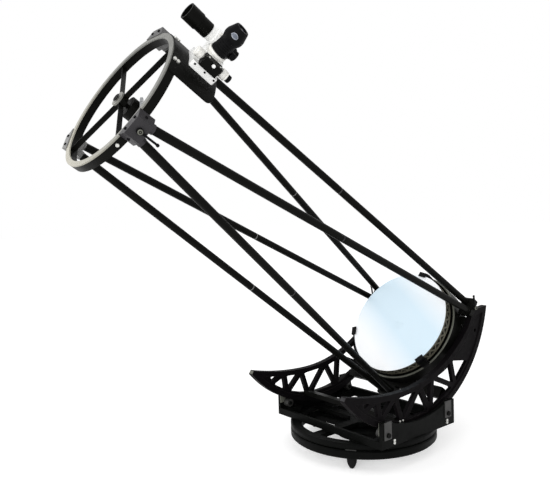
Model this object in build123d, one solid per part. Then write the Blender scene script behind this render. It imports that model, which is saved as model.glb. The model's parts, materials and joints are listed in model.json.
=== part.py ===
from build123d import *
from math import cos, hypot, radians, sin, sqrt
import os

# Truss-tube reflector on a rocker base. Millimetres and degrees.
# The origin is on the floor under the azimuth pivot, +Z is up, and the altitude axis runs along X.
# Tube pieces are drawn with the optical axis along +Z and the altitude axis through the origin,
# and are then tipped to the rest altitude.

# Pose and clearances
rest_altitude = 33.5
running_clearance = 0.05
face_clearance = 0.1
free_clearance = 0.3
overrun = 1.0
seat_draw_depth = 20.0

# Primary mirror and its cell
mirror_radius = 254.0
mirror_thickness = 42.0
mirror_face = -313.0
focal_length = 1930.0
glass_skin = 9.0
rib_cells = 40
rib_width = 5.0
rib_depth = 9.0
carrier_margin = 29.0
carrier_thickness = 10.0
carrier_hole_radius = 42.0
carrier_hole_circle = 140.0
carrier_holes = 6
tub_margin = 14.0
tub_wall = 6.0
tub_lead = 7.0
tub_depth = 64.0
tub_floor = 8.0
skirt_depth = 46.0
skirt_gap = 2.0
tub_vent_radius = 88.0
seat_step = 2.0
clip_angles = (-40.0, 80.0, 200.0)
clip_width = 40.0
clip_lip = 8.0
clip_lip_thickness = 6.0
clip_side_gap = 1.0
clip_face_gap = 2.0
collimation_circle = 170.0
collimation_shank = 5.0
collimation_knob_radius = 17.0
collimation_knob_height = 20.0

# Altitude crescents
crescent_radius = 550.0
crescent_thickness = 28.0
crescent_side_gap = 4.0
crescent_web_recess = 5.0
crescent_depth = 165.5
crescent_low_y = -80.0
crescent_long_radius = 1250.0
crescent_tip_angle = -139.4
crescent_tip_width = 11.6
crescent_heel_drop = 100.0
seat_lead = 55.0
seat_inset = 46.0
band_width = 25.0
rim_band = 33.0
strut_width = 22.0
strut_inner_angles = (-131.0, -120.0, -106.5, -84.0, -70.5, -49.5)
strut_rim_angles = (-126.5, -113.5, -98.0, -77.5, -56.0, -38.5)
window_least_radius = 5.0
window_corner = 4.0
crescent_eye_radius = 9.0
crescent_eye_inset = 53.0
crescent_eye_angle = -24.5

# Cross members between the crescents
beam_wall = 4.0
beam_depth = 30.0
lower_beam_width = 50.0
lower_beam_gap = 17.0
upper_beam_width = 40.0
upper_beam_gap = 3.0
tie_radial = 20.0
tie_width = 46.0
tie_seat_gap = 2.0
tie_angle = -99.5

# Truss
truss_tube_radius = 12.5
truss_tube_wall = 1.6
truss_top_gap = 17.0
truss_top_spread = 5.1
truss_top_drop = 27.0
truss_low_gap = 31.0
truss_low_spread = 3.9
truss_low_rise = 6.0
top_insert = 13.0
low_inset = 12.0
socket_wall = 4.5
socket_depth = 18.0
socket_floor = 8.0
joint_ring_length = 5.0
joint_ring_wall = 1.5
joint_share = 0.5
clamp_reach = 32.0
clamp_overhang = 4.0
clamp_below = 43.0
clamp_above = 40.0
clamp_height = 26.0
clamp_corner = 9.0
bottom_clamp_half = 46.0
bottom_clamp_depth = 53.0
bottom_clamp_tail = 20.0
bottom_clamp_lead = 22.0

# Upper ring, trim and brackets
ring_width = 18.0
ring_back = 1344.0
ring_length = 33.0
trim_thickness = 5.0
trim_lip = 2.0
flat_depth = 6.0
bracket_height = 34.0
bracket_base_half = 52.0
bracket_top_half = 32.0
bracket_lead = 22.0
bracket_length = 58.0
lever_rise = 4.0

# Clamp levers
lever_pin_radius = 4.0
lever_hub_radius = 11.0
lever_hub_height = 9.0
lever_arm_width = 7.0
lever_arm_gap = 4.0
lever_arm_thickness = 5.0
lever_tip_radius = 5.6
lever_length = 68.0
low_lever_length = 56.0

# Spider and secondary
vane_angle = 43.0
vane_thickness = 2.5
vane_depth = 19.0
vane_root = 6.0
spider_hub_radius = 24.0
spider_hub_length = 23.0
spider_hub_rise = 4.0
cap_radius = 27.0
cap_thickness = 6.0
cap_bolt_radius = 7.0
cap_bolt_height = 5.0
holder_radius = 38.0
holder_gap = 13.0
stalk_radius = 8.0
diagonal_thickness = 10.0

# Focuser
focuser_angle = 40.0
focuser_drop = 84.0
board_thickness = 4.0
board_half_angle = 26.5
board_drop = 70.0
board_corner = 26.0
light_hole = 31.0
base_height = 24.0
base_half_width = 48.0
base_half_length = 52.0
base_corner = 8.0
body_radius = 40.0
body_height = 42.0
drawtube_radius = 30.0
drawtube_bore = 25.45
drawtube_lead = 8.0
drawtube_rise = 17.0
collar_radius = 34.0
collar_height = 10.0
pinion_flat = 28.0
pinion_block_width = 32.0
pinion_block_half = 34.0
pinion_block_floor = 4.0
pinion_rise = 26.0
pinion_radius = 5.0
coarse_knob_radius = 17.0
coarse_knob_thickness = 24.0
coarse_knob_gap = 7.0
fine_knob_radius = 13.0
fine_knob_thickness = 14.0
fine_knob_gap = 2.0
fine_stub_radius = 3.0
fine_stub_length = 10.0
fine_stub_end_gap = 1.0

# Eyepiece, from its shoulder on the drawtube
barrel_length = 40.0
shoulder_radius = 33.0
waist_radius = 30.5
head_radius = 35.0
crown_radius = 27.0
eye_cup_radius = 17.0
eye_cup_depth = 5.0
waist_height = 16.0
head_height = 74.0
crown_height = 108.0

# Finder
finder_angle = 57.0
finder_height = 89.0
finder_tube_radius = 26.0
finder_tube_drop = 156.0
finder_tube_length = 108.0
hood_radius = 28.0
hood_front_radius = 30.5
hood_length = 44.0
hood_mouth_length = 50.0
hood_bore = 25.0
hood_bore_depth = 46.0
finder_eye_radius = 18.0
finder_eye_flange = 22.0
finder_eye_length = 20.0
finder_flange_length = 7.0
finder_cup_radius = 11.0
finder_cup_depth = 4.0
finder_ring_radius = 32.0
finder_ring_length = 14.0
finder_ring_rises = (32.0, 78.0)
finder_stalk_half = 8.0
finder_foot_half = 22.0
finder_foot_height = 8.0

# Ring and board screws
screw_head_radius = 6.0
screw_head_height = 6.0
screw_seat_depth = 1.0
board_screw_angle = 15.5
board_screw_rises = (7.0, 20.0)

# Ground ring and turntable
disc_margin = 10.0
disc_rim_width = 46.0
ground_bottom = 45.0
ground_height = 35.0
ground_hub_radius = 120.0
spoke_width = 58.0
spoke_height = 24.0
spoke_lift = 6.0
disc_edge = 5.0
pad_thickness = 4.0
pad_width = 34.0
pad_length = 44.0
foot_angle = -56.0
foot_inset = 27.0
foot_radius = 21.0
foot_tip_radius = 8.0
foot_straight = 12.0
foot_swell_share = 0.71
turntable_height = 25.0
turntable_hub_radius = 56.0
turntable_spoke_width = 44.0
turntable_spoke_height = 18.0
pivot_radius = 8.0
pivot_head_radius = 17.0
pivot_head_height = 10.0
pivot_depth = 24.0

# Rocker
rocker_gap = 36.0
panel_gap = 5.0
panel_thickness = 14.0
panel_front_margin = 35.0
panel_rear_margin = 47.0
panel_arc_inset = 33.0
panel_shoulder_height = 108.0
rail_thickness = 14.0
front_rail_height = 30.0
rear_panel_height = 45.0
rear_panel_inset = 8.0
block_width = 43.0
block_length = 80.0
block_height = 30.0
plate_thickness = 4.0
plate_width = 42.0
plate_height = 72.0
panel_screw_radius = 6.0
panel_screw_height = 4.0
panel_screw_inset = 39.0
panel_screw_rear_inset = 7.0
panel_screw_rises = (14.0, 24.0)

# Altitude rollers
roller_angle = 20.5
roller_radius = 18.0
roller_side_gap = 0.5
axle_radius = 6.0
axle_head_radius = 10.0
axle_head_height = 6.0
axle_collar_radius = 9.0
axle_collar_height = 4.0

# Bracket and clamp stations round the tube, and the two that each truss tube joins
top_angles = {"top": 90.0, "near": -30.0, "left": 210.0}
low_angles = {"right": 30.0, "bottom": 270.0, "back": 150.0}
truss_pairs = (
    ("top", -1, "right", 1),
    ("top", 1, "back", -1),
    ("near", 1, "right", -1),
    ("near", -1, "bottom", 1),
    ("left", -1, "back", 1),
    ("left", 1, "bottom", -1),
)

# Places worked out from the driving dimensions: mirror cell and crescents
sin_alt = sin(radians(rest_altitude))
cos_alt = cos(radians(rest_altitude))
mirror_back = mirror_face - mirror_thickness
carrier_radius = mirror_radius - carrier_margin
carrier_back = mirror_back - carrier_thickness
tub_radius = mirror_radius + tub_margin
tub_front = mirror_back - tub_lead
tub_back = tub_front - tub_depth
seat_axial = tub_back - seat_step
crescent_inner_face = tub_radius + crescent_side_gap
crescent_outer_face = crescent_inner_face + crescent_thickness
crescent_low_point = (crescent_low_y, crescent_depth - crescent_radius)
window_outer_radius = crescent_radius - rim_band
lower_beam_outer = tub_radius + lower_beam_gap
lower_beam_span = (-lower_beam_outer, lower_beam_width - lower_beam_outer)

# Places of the truss, its clamps and the seat on the crescents
truss_low_radius = lower_beam_outer + truss_low_gap
truss_low_axial = tub_back + truss_low_rise
clamp_inner = crescent_inner_face - clamp_reach
clamp_outer = crescent_outer_face + clamp_overhang
clamp_middle = truss_low_radius * sin(radians(low_angles["right"]))
clamp_low = clamp_middle - clamp_below
clamp_high = clamp_middle + clamp_above
upper_beam_high = clamp_low - upper_beam_gap
upper_beam_span = (upper_beam_high - upper_beam_width, upper_beam_high)
seat_start = clamp_low - seat_lead
seat_end = clamp_high - seat_inset
bottom_clamp_back = tub_back - bottom_clamp_tail
bottom_clamp_front = tub_back + bottom_clamp_lead

# Places on the upper ring
ring_inner = mirror_radius
ring_outer = ring_inner + ring_width
ring_front = ring_back + ring_length
flat_distance = ring_outer - flat_depth
bracket_outer = flat_distance + bracket_height
bracket_back = ring_back - bracket_lead
bracket_front = bracket_back + bracket_length
truss_top_radius = flat_distance + truss_top_gap
truss_top_axial = ring_back - truss_top_drop
lever_axial = ring_back + lever_rise
spider_hub_back = ring_back + spider_hub_rise
focuser_axial = ring_back - focuser_drop
board_back = focuser_axial - board_drop
board_outer = ring_outer + board_thickness
base_top = ring_outer + base_height
body_top = base_top + body_height
drawtube_back = board_outer + drawtube_lead
drawtube_top = body_top + drawtube_rise
finder_radius = board_outer + finder_height
finder_tube_back = ring_back - finder_tube_drop
finder_tube_front = finder_tube_back + finder_tube_length
hood_step = finder_tube_front + hood_length
hood_front = hood_step + hood_mouth_length
finder_ring_places = [finder_tube_back + rise for rise in finder_ring_rises]

# Places of the base. The altitude axis stands a crescent's radius and a gap above the turntable.
ground_top = ground_bottom + ground_height
turntable_bottom = ground_top + pad_thickness
turntable_top = turntable_bottom + turntable_height
axis_height = turntable_top + rocker_gap + crescent_radius
roller_circle = crescent_radius + roller_radius + free_clearance
roller_reach = roller_circle * sin(radians(roller_angle))
roller_drop = roller_circle * cos(radians(roller_angle))
panel_inner_face = crescent_outer_face + panel_gap
panel_front = -roller_reach - panel_front_margin
panel_rear = roller_reach + panel_rear_margin
panel_arc_radius = crescent_radius - panel_arc_inset
disc_radius = panel_inner_face + panel_thickness + disc_margin
disc_rim_inner = disc_radius - disc_rim_width
foot_circle = disc_radius - foot_inset
tube_frame = Location((0, 0, axis_height), (90 - rest_altitude, 0, 0))

nodes = {}


def add(name, shape):
    nodes[name] = shape


def add_on_tube(name, shape):
    nodes[name] = tube_frame * shape


def span_box(x0, x1, y0, y1, z0, z1):
    """A box between two corners."""
    centre = ((x0 + x1) / 2, (y0 + y1) / 2, (z0 + z1) / 2)
    return Pos(*centre) * Box(abs(x1 - x0), abs(y1 - y0), abs(z1 - z0))


def axial_disc(radius, z0, z1):
    """A solid cylinder along Z between two heights."""
    return Pos(0, 0, (z0 + z1) / 2) * Cylinder(radius, abs(z1 - z0))


def axial_ring(outer, inner, z0, z1):
    return axial_disc(outer, z0, z1) - axial_disc(inner, z0 - overrun, z1 + overrun)


def rod_along_x(radius, x0, x1, y, z):
    return Pos((x0 + x1) / 2, y, z) * Rot(0, 90, 0) * Cylinder(radius, abs(x1 - x0))


def rod_between(start, end, radius):
    axis = end - start
    return Plane(start, z_dir=axis) * axial_disc(radius, 0, axis.length)


def station(angle):
    """Frame at an angle round the optical axis: X is radial, Y tangential and Z axial."""
    return Rot(0, 0, angle)


def tube_to_side(u, axial):
    """Place in the tube's side view, as world Y and world Z from the altitude axis."""
    return (u * sin_alt - axial * cos_alt, u * cos_alt + axial * sin_alt)


def polar(radius, angle):
    return (radius * cos(radians(angle)), radius * sin(radians(angle)))


# Primary mirror: two glass skins with a ring of triangular cells between them
def primary_mirror():
    curve_radius = 2 * focal_length
    sagitta = curve_radius - sqrt(curve_radius ** 2 - mirror_radius ** 2)
    body = axial_disc(mirror_radius, mirror_back, mirror_face)
    body -= Pos(0, 0, mirror_face + curve_radius - sagitta) * Sphere(curve_radius)
    cell_low = mirror_back + glass_skin
    cell_high = mirror_face - glass_skin
    pitch = 2 * mirror_radius * sin(radians(180 / rib_cells))
    half = pitch / 2 - rib_width
    upright = [(-half, cell_low), (half, cell_low), (0, cell_high - rib_width)]
    hanging = [(-half, cell_high), (half, cell_high), (0, cell_low + rib_width)]
    cuts = []
    for index in range(rib_cells):
        for outline, offset in ((upright, 0.0), (hanging, 0.5)):
            angle = 360 * (index + offset) / rib_cells
            face = make_face(Polyline(outline, close=True))
            prism = extrude(Plane.YZ.offset(mirror_radius - rib_depth) * face, 2 * rib_depth)
            cuts.append(station(angle) * prism)
    return body - cuts


# Mirror cell: carrier plate, tub, clips and collimation bolts
def mirror_carrier():
    plate = axial_disc(carrier_radius, carrier_back, mirror_back)
    hole = axial_disc(carrier_hole_radius, carrier_back - overrun, mirror_back + overrun)
    return plate - PolarLocations(carrier_hole_circle, carrier_holes) * hole


def mirror_tub():
    skirt_back = tub_back - skirt_depth
    tub = axial_disc(tub_radius, skirt_back, tub_front)
    tub -= axial_disc(tub_radius - tub_wall, tub_back + tub_floor, tub_front + overrun)
    tub -= axial_disc(tub_radius - tub_wall, skirt_back - overrun, tub_back)
    for u_low, u_high in (lower_beam_span, upper_beam_span):
        tub -= span_box(
            -tub_radius, tub_radius, u_low - skirt_gap, u_high + skirt_gap, skirt_back - overrun, tub_back
        )
    tub -= axial_disc(tub_vent_radius, tub_back - overrun, tub_front)
    for angle in collimation_angles():
        bore = axial_disc(collimation_shank + free_clearance, tub_back - overrun, tub_front)
        tub -= station(angle) * Pos(collimation_circle, 0, 0) * bore
    return tub


def collimation_angles():
    return [90.0 + 120 * turn for turn in range(3)]


def collimation_bolts():
    bolts = []
    for angle in collimation_angles():
        bolt = axial_disc(collimation_shank, tub_back - overrun, carrier_back)
        bolt += axial_disc(collimation_knob_radius, tub_back - collimation_knob_height, tub_back)
        bolts.append(station(angle) * Pos(collimation_circle, 0, 0) * bolt)
    return Compound(bolts)


def mirror_clips():
    half = clip_width / 2
    inner = mirror_radius + clip_side_gap
    lip_low = mirror_face + clip_face_gap
    lip_high = lip_low + clip_lip_thickness
    clips = []
    for angle in clip_angles:
        clip = span_box(inner, tub_radius, -half, half, tub_front, lip_high)
        clip += span_box(mirror_radius - clip_lip, tub_radius, -half, half, lip_low, lip_high)
        clips.append(station(angle) * clip)
    return Compound(clips)


# Altitude crescents
def inner_arc_radius():
    """Radius of the arc that leaves the low point level and ends at the seat for the truss clamp."""
    low_y, low_z = crescent_low_point
    seat_y, seat_z = tube_to_side(seat_start, seat_axial)
    run = seat_y - low_y
    rise = seat_z - low_z
    return (run ** 2 + rise ** 2) / (2 * rise)


def arc_point(radius, y, low=crescent_low_point):
    """Point at a given Y on the arc of that radius whose lowest point is the crescent's low point."""
    return (y, low[1] + radius - sqrt(radius ** 2 - (y - low[0]) ** 2))


def crescent_tip():
    """The two corners of the crescent's blunt front tip, on the inner edge and on the rim."""
    tip = polar(crescent_radius, crescent_tip_angle)
    return arc_point(crescent_long_radius, tip[0] + crescent_tip_width), tip


def crescent_outline():
    low_y = crescent_low_point[0]
    rear_radius = inner_arc_radius()
    seat_from = tube_to_side(seat_start, seat_axial)
    seat_to = tube_to_side(seat_end, seat_axial)
    front_end, tip = crescent_tip()
    heel = (sqrt(crescent_radius ** 2 - crescent_heel_drop ** 2), -crescent_heel_drop)
    front_middle = arc_point(crescent_long_radius, (low_y + front_end[0]) / 2)
    rear_middle = arc_point(rear_radius, (low_y + seat_from[0]) / 2)
    edges = [
        ThreePointArc(tip, (0, -crescent_radius), heel),
        Line(heel, seat_to),
        Line(seat_to, seat_from),
        ThreePointArc(seat_from, rear_middle, crescent_low_point),
        ThreePointArc(crescent_low_point, front_middle, front_end),
        Line(front_end, tip),
    ]
    return make_face(edges)


def inner_edge(angle):
    """Distance from the altitude axis to the crescent's inner edge, along a ray."""
    dir_y, dir_z = polar(1, angle)

    def to_arc(radius):
        centre_y = crescent_low_point[0]
        centre_z = crescent_low_point[1] + radius
        along = centre_y * dir_y + centre_z * dir_z
        return along + sqrt(along ** 2 - centre_y ** 2 - centre_z ** 2 + radius ** 2)

    reach = to_arc(inner_arc_radius())
    if reach * dir_y < crescent_low_point[0]:
        return to_arc(crescent_long_radius)
    return reach


def strut_nodes():
    """The zigzag of points where the struts' centre lines meet, from the inner band to the rim and back."""
    half = strut_width / 2
    zigzag = []
    for inner_angle, rim_angle in zip(strut_inner_angles, strut_rim_angles):
        zigzag.append(polar(inner_edge(inner_angle) + band_width - half, inner_angle))
        zigzag.append(polar(window_outer_radius + half, rim_angle))
    return zigzag


def inscribed_radius(corners):
    (ay, az), (by, bz), (cy, cz) = corners
    twice_area = abs((by - ay) * (cz - az) - (cy - ay) * (bz - az))
    return twice_area / (hypot(by - ay, bz - az) + hypot(cy - by, cz - bz) + hypot(ay - cy, az - cz))


def crescent_windows():
    """Triangular windows between the struts of a truss. A triangle that the struts fill has none."""
    half = strut_width / 2
    zigzag = strut_nodes()
    windows = []
    for corners in zip(zigzag, zigzag[1:], zigzag[2:]):
        if inscribed_radius(corners) < half + window_least_radius:
            continue
        window = offset(make_face(Polyline(corners, close=True)), -half)
        windows.append(fillet(window.vertices(), window_corner))
    eye = polar(crescent_radius - crescent_eye_inset, crescent_eye_angle)
    windows.append(Pos(*eye) * Circle(crescent_eye_radius))
    return windows


def crescent(side):
    outline = crescent_outline()
    windows = crescent_windows()
    pocket = offset(outline, -band_width)
    plate = extrude(outline, crescent_thickness)
    plate -= extrude(pocket, crescent_web_recess)
    plate -= Pos(0, 0, crescent_thickness - crescent_web_recess) * extrude(pocket, crescent_web_recess)
    plate -= [extrude(window, crescent_thickness) for window in windows]
    start = crescent_inner_face if side > 0 else -crescent_outer_face
    return Plane((start, 0, axis_height), x_dir=(0, 1, 0), z_dir=(1, 0, 0)) * plate


# Cross members
def cross_beam(u_low, u_high):
    half = crescent_inner_face
    beam = span_box(-half, half, u_low, u_high, tub_back - beam_depth, tub_back)
    inner = span_box(
        -half, half, u_low + beam_wall, u_high - beam_wall,
        tub_back - beam_depth + beam_wall, tub_back - beam_wall,
    )
    return beam - inner


def front_tie():
    """Flat bar whose ends seat in the crescents' recessed webs, just inside the rim band."""
    bar = Box(2 * (crescent_inner_face + crescent_web_recess), tie_radial, tie_width)
    rim_side = crescent_radius - band_width - tie_seat_gap
    y, z = polar(rim_side - tie_radial / 2, tie_angle)
    return Pos(0, y, z + axis_height) * Rot(tie_angle, 0, 0) * bar


# Truss tubes, sockets and clamps
def truss_axis(top, top_side, low, low_side):
    """Top and bottom points of one truss tube's centre line."""
    top_angle = top_angles[top] + top_side * truss_top_spread
    low_angle = low_angles[low] + low_side * truss_low_spread
    top_x, top_y = polar(truss_top_radius, top_angle)
    low_x, low_y = polar(truss_low_radius, low_angle)
    high = Vector(top_x, top_y, truss_top_axial)
    bottom = Vector(low_x, low_y, truss_low_axial)
    along = (high - bottom).normalized()
    return high + along * top_insert, bottom + along * low_inset


def truss_tube(start, end):
    bore = rod_between(start, end, truss_tube_radius - truss_tube_wall)
    return rod_between(start, end, truss_tube_radius) - bore


def truss_middle(pair):
    high, low = truss_axis(*pair)
    return low + (high - low) * joint_share


def lower_tubes():
    return Compound([truss_tube(truss_axis(*pair)[1], truss_middle(pair)) for pair in truss_pairs])


def upper_tubes():
    return Compound([truss_tube(truss_middle(pair), truss_axis(*pair)[0]) for pair in truss_pairs])


def tube_joints():
    rings = []
    for pair in truss_pairs:
        high, low = truss_axis(*pair)
        along = (high - low).normalized() * (joint_ring_length / 2)
        middle = truss_middle(pair)
        ring = rod_between(middle - along, middle + along, truss_tube_radius + joint_ring_wall)
        rings.append(ring - rod_between(middle - along, middle + along, truss_tube_radius))
    return Compound(rings)


def with_sockets(block, place, at_top):
    """Add to a block the sockets that hold the ends of its two truss tubes."""
    bores = []
    for pair in truss_pairs:
        if place != (pair[0] if at_top else pair[2]):
            continue
        high, low = truss_axis(*pair)
        end = high if at_top else low
        out = (low - high).normalized() if at_top else (high - low).normalized()
        socket_radius = truss_tube_radius + socket_wall
        block += rod_between(end - out * socket_floor, end + out * socket_depth, socket_radius)
        bores.append(rod_between(end, end + out * 2 * socket_depth, truss_tube_radius))
    return block - bores


def lower_clamp_side(place, side):
    inner, outer = side * clamp_inner, side * clamp_outer
    block = span_box(inner, outer, clamp_low, clamp_high, seat_axial, seat_axial + clamp_height)
    block = fillet(block.edges().filter_by(Axis.Z), clamp_corner)
    block = with_sockets(block, place, False)
    pin_y, pin_z = low_lever_pivot()
    pin_start = side * (clamp_outer - overrun)
    return block + rod_along_x(lever_pin_radius, pin_start, side * low_lever_top(), pin_y, pin_z)


def low_lever_pivot():
    return (clamp_low + clamp_high) / 2, seat_axial + clamp_height / 2


def low_lever_top():
    return clamp_outer + free_clearance + lever_hub_height


def bottom_clamp():
    outer = -(lower_beam_outer + bottom_clamp_depth)
    block = span_box(
        -bottom_clamp_half, bottom_clamp_half, outer, -lower_beam_outer,
        bottom_clamp_back, bottom_clamp_front,
    )
    block = fillet(block.edges().filter_by(Axis.Z), clamp_corner)
    return with_sockets(block, "bottom", False)


def lever(length):
    """Clamp lever in its own frame: the pivot runs along Z and the arm along +X."""
    hub = axial_disc(lever_hub_radius, free_clearance, free_clearance + lever_hub_height)
    half = lever_arm_width / 2
    low = free_clearance + lever_arm_gap
    high = low + lever_arm_thickness
    arm = span_box(0, length, -half, half, low, high)
    arm += Pos(length, 0, 0) * axial_disc(lever_tip_radius, low, high)
    bore = axial_disc(lever_pin_radius + running_clearance, 0, 2 * lever_hub_height)
    return hub + arm - bore


# Upper ring and what it carries
def upper_ring():
    ring = axial_ring(ring_outer, ring_inner, ring_back, ring_front - trim_thickness)
    for angle in top_angles.values():
        ring -= station(angle) * span_box(
            flat_distance, ring_outer + overrun, -ring_outer, ring_outer, ring_back - overrun, ring_front,
        )
    ring -= [vane(angle) for angle in vane_angles()]
    return ring - spider_screws()


def ring_trim():
    trim = axial_ring(ring_outer, ring_inner - trim_lip, ring_front - trim_thickness, ring_front)
    for angle in top_angles.values():
        trim -= station(angle) * span_box(
            flat_distance, ring_outer + overrun, -ring_outer, ring_outer, ring_back, ring_front + overrun,
        )
    return trim


def upper_bracket(place):
    outline = [
        (flat_distance, -bracket_base_half),
        (flat_distance, bracket_base_half),
        (bracket_outer, bracket_top_half),
        (bracket_outer, -bracket_top_half),
    ]
    face = make_face(Polyline(outline, close=True))
    block = Pos(0, 0, bracket_back) * extrude(face, bracket_front - bracket_back)
    pin = Rot(0, 90, 0) * axial_disc(lever_pin_radius, bracket_outer - overrun, upper_lever_top())
    block += Pos(0, 0, lever_axial) * pin
    return with_sockets(station(top_angles[place]) * block, place, True)


def upper_lever_top():
    return bracket_outer + free_clearance + lever_hub_height


def upper_lever(place):
    """The arm lies along the tube, towards the primary mirror."""
    seat = Pos(bracket_outer, 0, lever_axial) * Rot(0, 90, 0)
    return station(top_angles[place]) * seat * lever(lever_length)


def lower_lever(side):
    """The arm leans half way between the tube's upper side and its front."""
    pin_y, pin_z = low_lever_pivot()
    turn = Plane((side * clamp_outer, pin_y, pin_z), x_dir=(0, 1, 1), z_dir=(side, 0, 0))
    return turn * lever(low_lever_length)


def vane_angles():
    return [vane_angle + 90 * turn for turn in range(4)]


def vane(angle):
    half = vane_thickness / 2
    low = ring_back + vane_root
    return station(angle) * span_box(0, ring_inner + vane_root, -half, half, low, low + vane_depth)


def spider():
    hub = axial_disc(spider_hub_radius, spider_hub_back, spider_hub_back + spider_hub_length)
    for angle in vane_angles():
        hub += vane(angle)
    return hub


def spider_cap():
    low = spider_hub_back + spider_hub_length
    cap = axial_disc(cap_radius, low, low + cap_thickness)
    return cap + axial_disc(cap_bolt_radius, low, low + cap_thickness + cap_bolt_height)


def radial_disc(radius, r0, r1, axial, tangential=0.0):
    return Pos(0, tangential, axial) * Rot(0, 90, 0) * axial_disc(radius, r0, r1)


def spider_screws():
    """Screws through the ring into the vane ends. The focuser board covers the first vane's place."""
    low = ring_outer - screw_seat_depth
    axial = ring_back + vane_root + vane_depth / 2
    head = radial_disc(screw_head_radius, low, low + screw_head_height, axial)
    return [station(angle) * head for angle in vane_angles()[1:]]


def board_screws():
    low = board_outer - screw_seat_depth
    screws = []
    for rise in board_screw_rises:
        for side in (-1, 1):
            head = radial_disc(screw_head_radius, low, low + screw_head_height, ring_back + rise)
            screws.append(station(focuser_angle + side * board_screw_angle) * head)
    return screws


# Secondary mirror, on the plane that turns the light into the focuser
def diagonal_plane(depth):
    shift = depth / sqrt(2)
    return Plane((-shift, 0, focuser_axial + shift), z_dir=(1, 0, -1))


def holder_top():
    return spider_hub_back - holder_gap


def secondary_holder():
    column = axial_disc(holder_radius, focuser_axial - 2 * holder_radius, holder_top())
    column = split(column, bisect_by=diagonal_plane(diagonal_thickness), keep=Keep.BOTTOM)
    stalk = axial_disc(stalk_radius, holder_top() - overrun, spider_hub_back)
    return station(focuser_angle) * (column + stalk)


def secondary_mirror():
    column = axial_disc(holder_radius, focuser_axial - 2 * holder_radius, holder_top())
    slab = split(column, bisect_by=diagonal_plane(diagonal_thickness), keep=Keep.TOP)
    slab = split(slab, bisect_by=diagonal_plane(0), keep=Keep.BOTTOM)
    return station(focuser_angle) * slab


# Focuser, drawn with its axis along X at the focuser's station
def focuser_board():
    half = ring_outer * sin(radians(board_half_angle))
    front = ring_front - trim_thickness
    sheet = axial_ring(board_outer, ring_outer, board_back, front)
    blank = span_box(0, board_outer, -half, half, board_back, front)
    corners = blank.edges().filter_by(Axis.X).group_by(Axis.Z)[0]
    blank = fillet(corners, board_corner)
    board = station(focuser_angle) * (sheet & blank)
    board -= station(focuser_angle) * radial_disc(light_hole, 0, board_outer + overrun, focuser_axial)
    return board - board_screws()


def focuser_base():
    low = focuser_axial - base_half_length
    high = focuser_axial + base_half_length
    block = span_box(ring_outer - seat_draw_depth, base_top, -base_half_width, base_half_width, low, high)
    block = fillet(block.edges().filter_by(Axis.X), base_corner)
    block -= axial_disc(board_outer, low - overrun, high + overrun)
    block -= radial_disc(light_hole, 0, base_top + overrun, focuser_axial)
    return station(focuser_angle) * block


def focuser_body():
    body = radial_disc(body_radius, base_top, body_top, focuser_axial) - drawtube_passage()
    flat = span_box(
        base_top - overrun, body_top + overrun, -2 * body_radius, -pinion_flat,
        focuser_axial - 2 * body_radius, focuser_axial + 2 * body_radius,
    )
    return station(focuser_angle) * (body - flat)


def drawtube_passage():
    radius = drawtube_radius + running_clearance
    return radial_disc(radius, base_top - overrun, body_top + overrun, focuser_axial)


def pinion_place():
    """The pinion shaft bears on the drawtube through the open side of the body."""
    offset_to_shaft = drawtube_radius + pinion_radius + free_clearance
    return Pos(base_top + pinion_rise, -offset_to_shaft, focuser_axial)


def pinion_block():
    block = span_box(
        base_top + pinion_block_floor, body_top, -pinion_flat - pinion_block_width, -pinion_flat,
        focuser_axial - pinion_block_half, focuser_axial + pinion_block_half,
    )
    block -= drawtube_passage()
    bore = axial_disc(pinion_radius + running_clearance, -2 * pinion_block_half, 2 * pinion_block_half)
    return station(focuser_angle) * (block - pinion_place() * bore)


def coarse_knob_start():
    return pinion_block_half + coarse_knob_gap


def coarse_knob_end():
    return coarse_knob_start() + coarse_knob_thickness


def pinion_knobs():
    shaft = axial_disc(pinion_radius, -coarse_knob_start() - overrun, coarse_knob_start() + overrun)
    shaft += axial_disc(coarse_knob_radius, coarse_knob_start(), coarse_knob_end())
    shaft += axial_disc(coarse_knob_radius, -coarse_knob_end(), -coarse_knob_start())
    stub_floor = -coarse_knob_end() + fine_stub_length - fine_knob_gap + fine_stub_end_gap
    shaft -= axial_disc(fine_stub_radius + running_clearance, -coarse_knob_end() - overrun, stub_floor)
    return station(focuser_angle) * pinion_place() * shaft


def fine_knob():
    face = -coarse_knob_end() - fine_knob_gap
    knob = axial_disc(fine_knob_radius, face - fine_knob_thickness, face)
    knob += axial_disc(fine_stub_radius, face - overrun, face + fine_stub_length)
    return station(focuser_angle) * pinion_place() * knob


def drawtube():
    tube = radial_disc(drawtube_radius, drawtube_back, drawtube_top, focuser_axial)
    tube += radial_disc(collar_radius, drawtube_top - collar_height, drawtube_top, focuser_axial)
    tube -= radial_disc(drawtube_bore, drawtube_back - overrun, drawtube_top + overrun, focuser_axial)
    return station(focuser_angle) * tube


def eyepiece():
    barrel_radius = drawtube_bore - running_clearance
    outline = [
        (0, -barrel_length),
        (barrel_radius, -barrel_length),
        (barrel_radius, face_clearance),
        (shoulder_radius, face_clearance),
        (waist_radius, waist_height),
        (head_radius, head_height),
        (crown_radius, crown_height),
        (eye_cup_radius, crown_height),
        (eye_cup_radius, crown_height - eye_cup_depth),
        (0, crown_height - eye_cup_depth),
    ]
    face = make_face(Polyline(outline, close=True))
    solid = revolve(Plane.XZ * face, Axis.Z)
    seat = Pos(drawtube_top, 0, focuser_axial) * Rot(0, 90, 0)
    return station(focuser_angle) * seat * solid


# Finder telescope
def finder_frame():
    return station(finder_angle) * Pos(finder_radius, 0, 0)


def finder_tube():
    return finder_frame() * axial_disc(finder_tube_radius, finder_tube_back, finder_tube_front)


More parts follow.
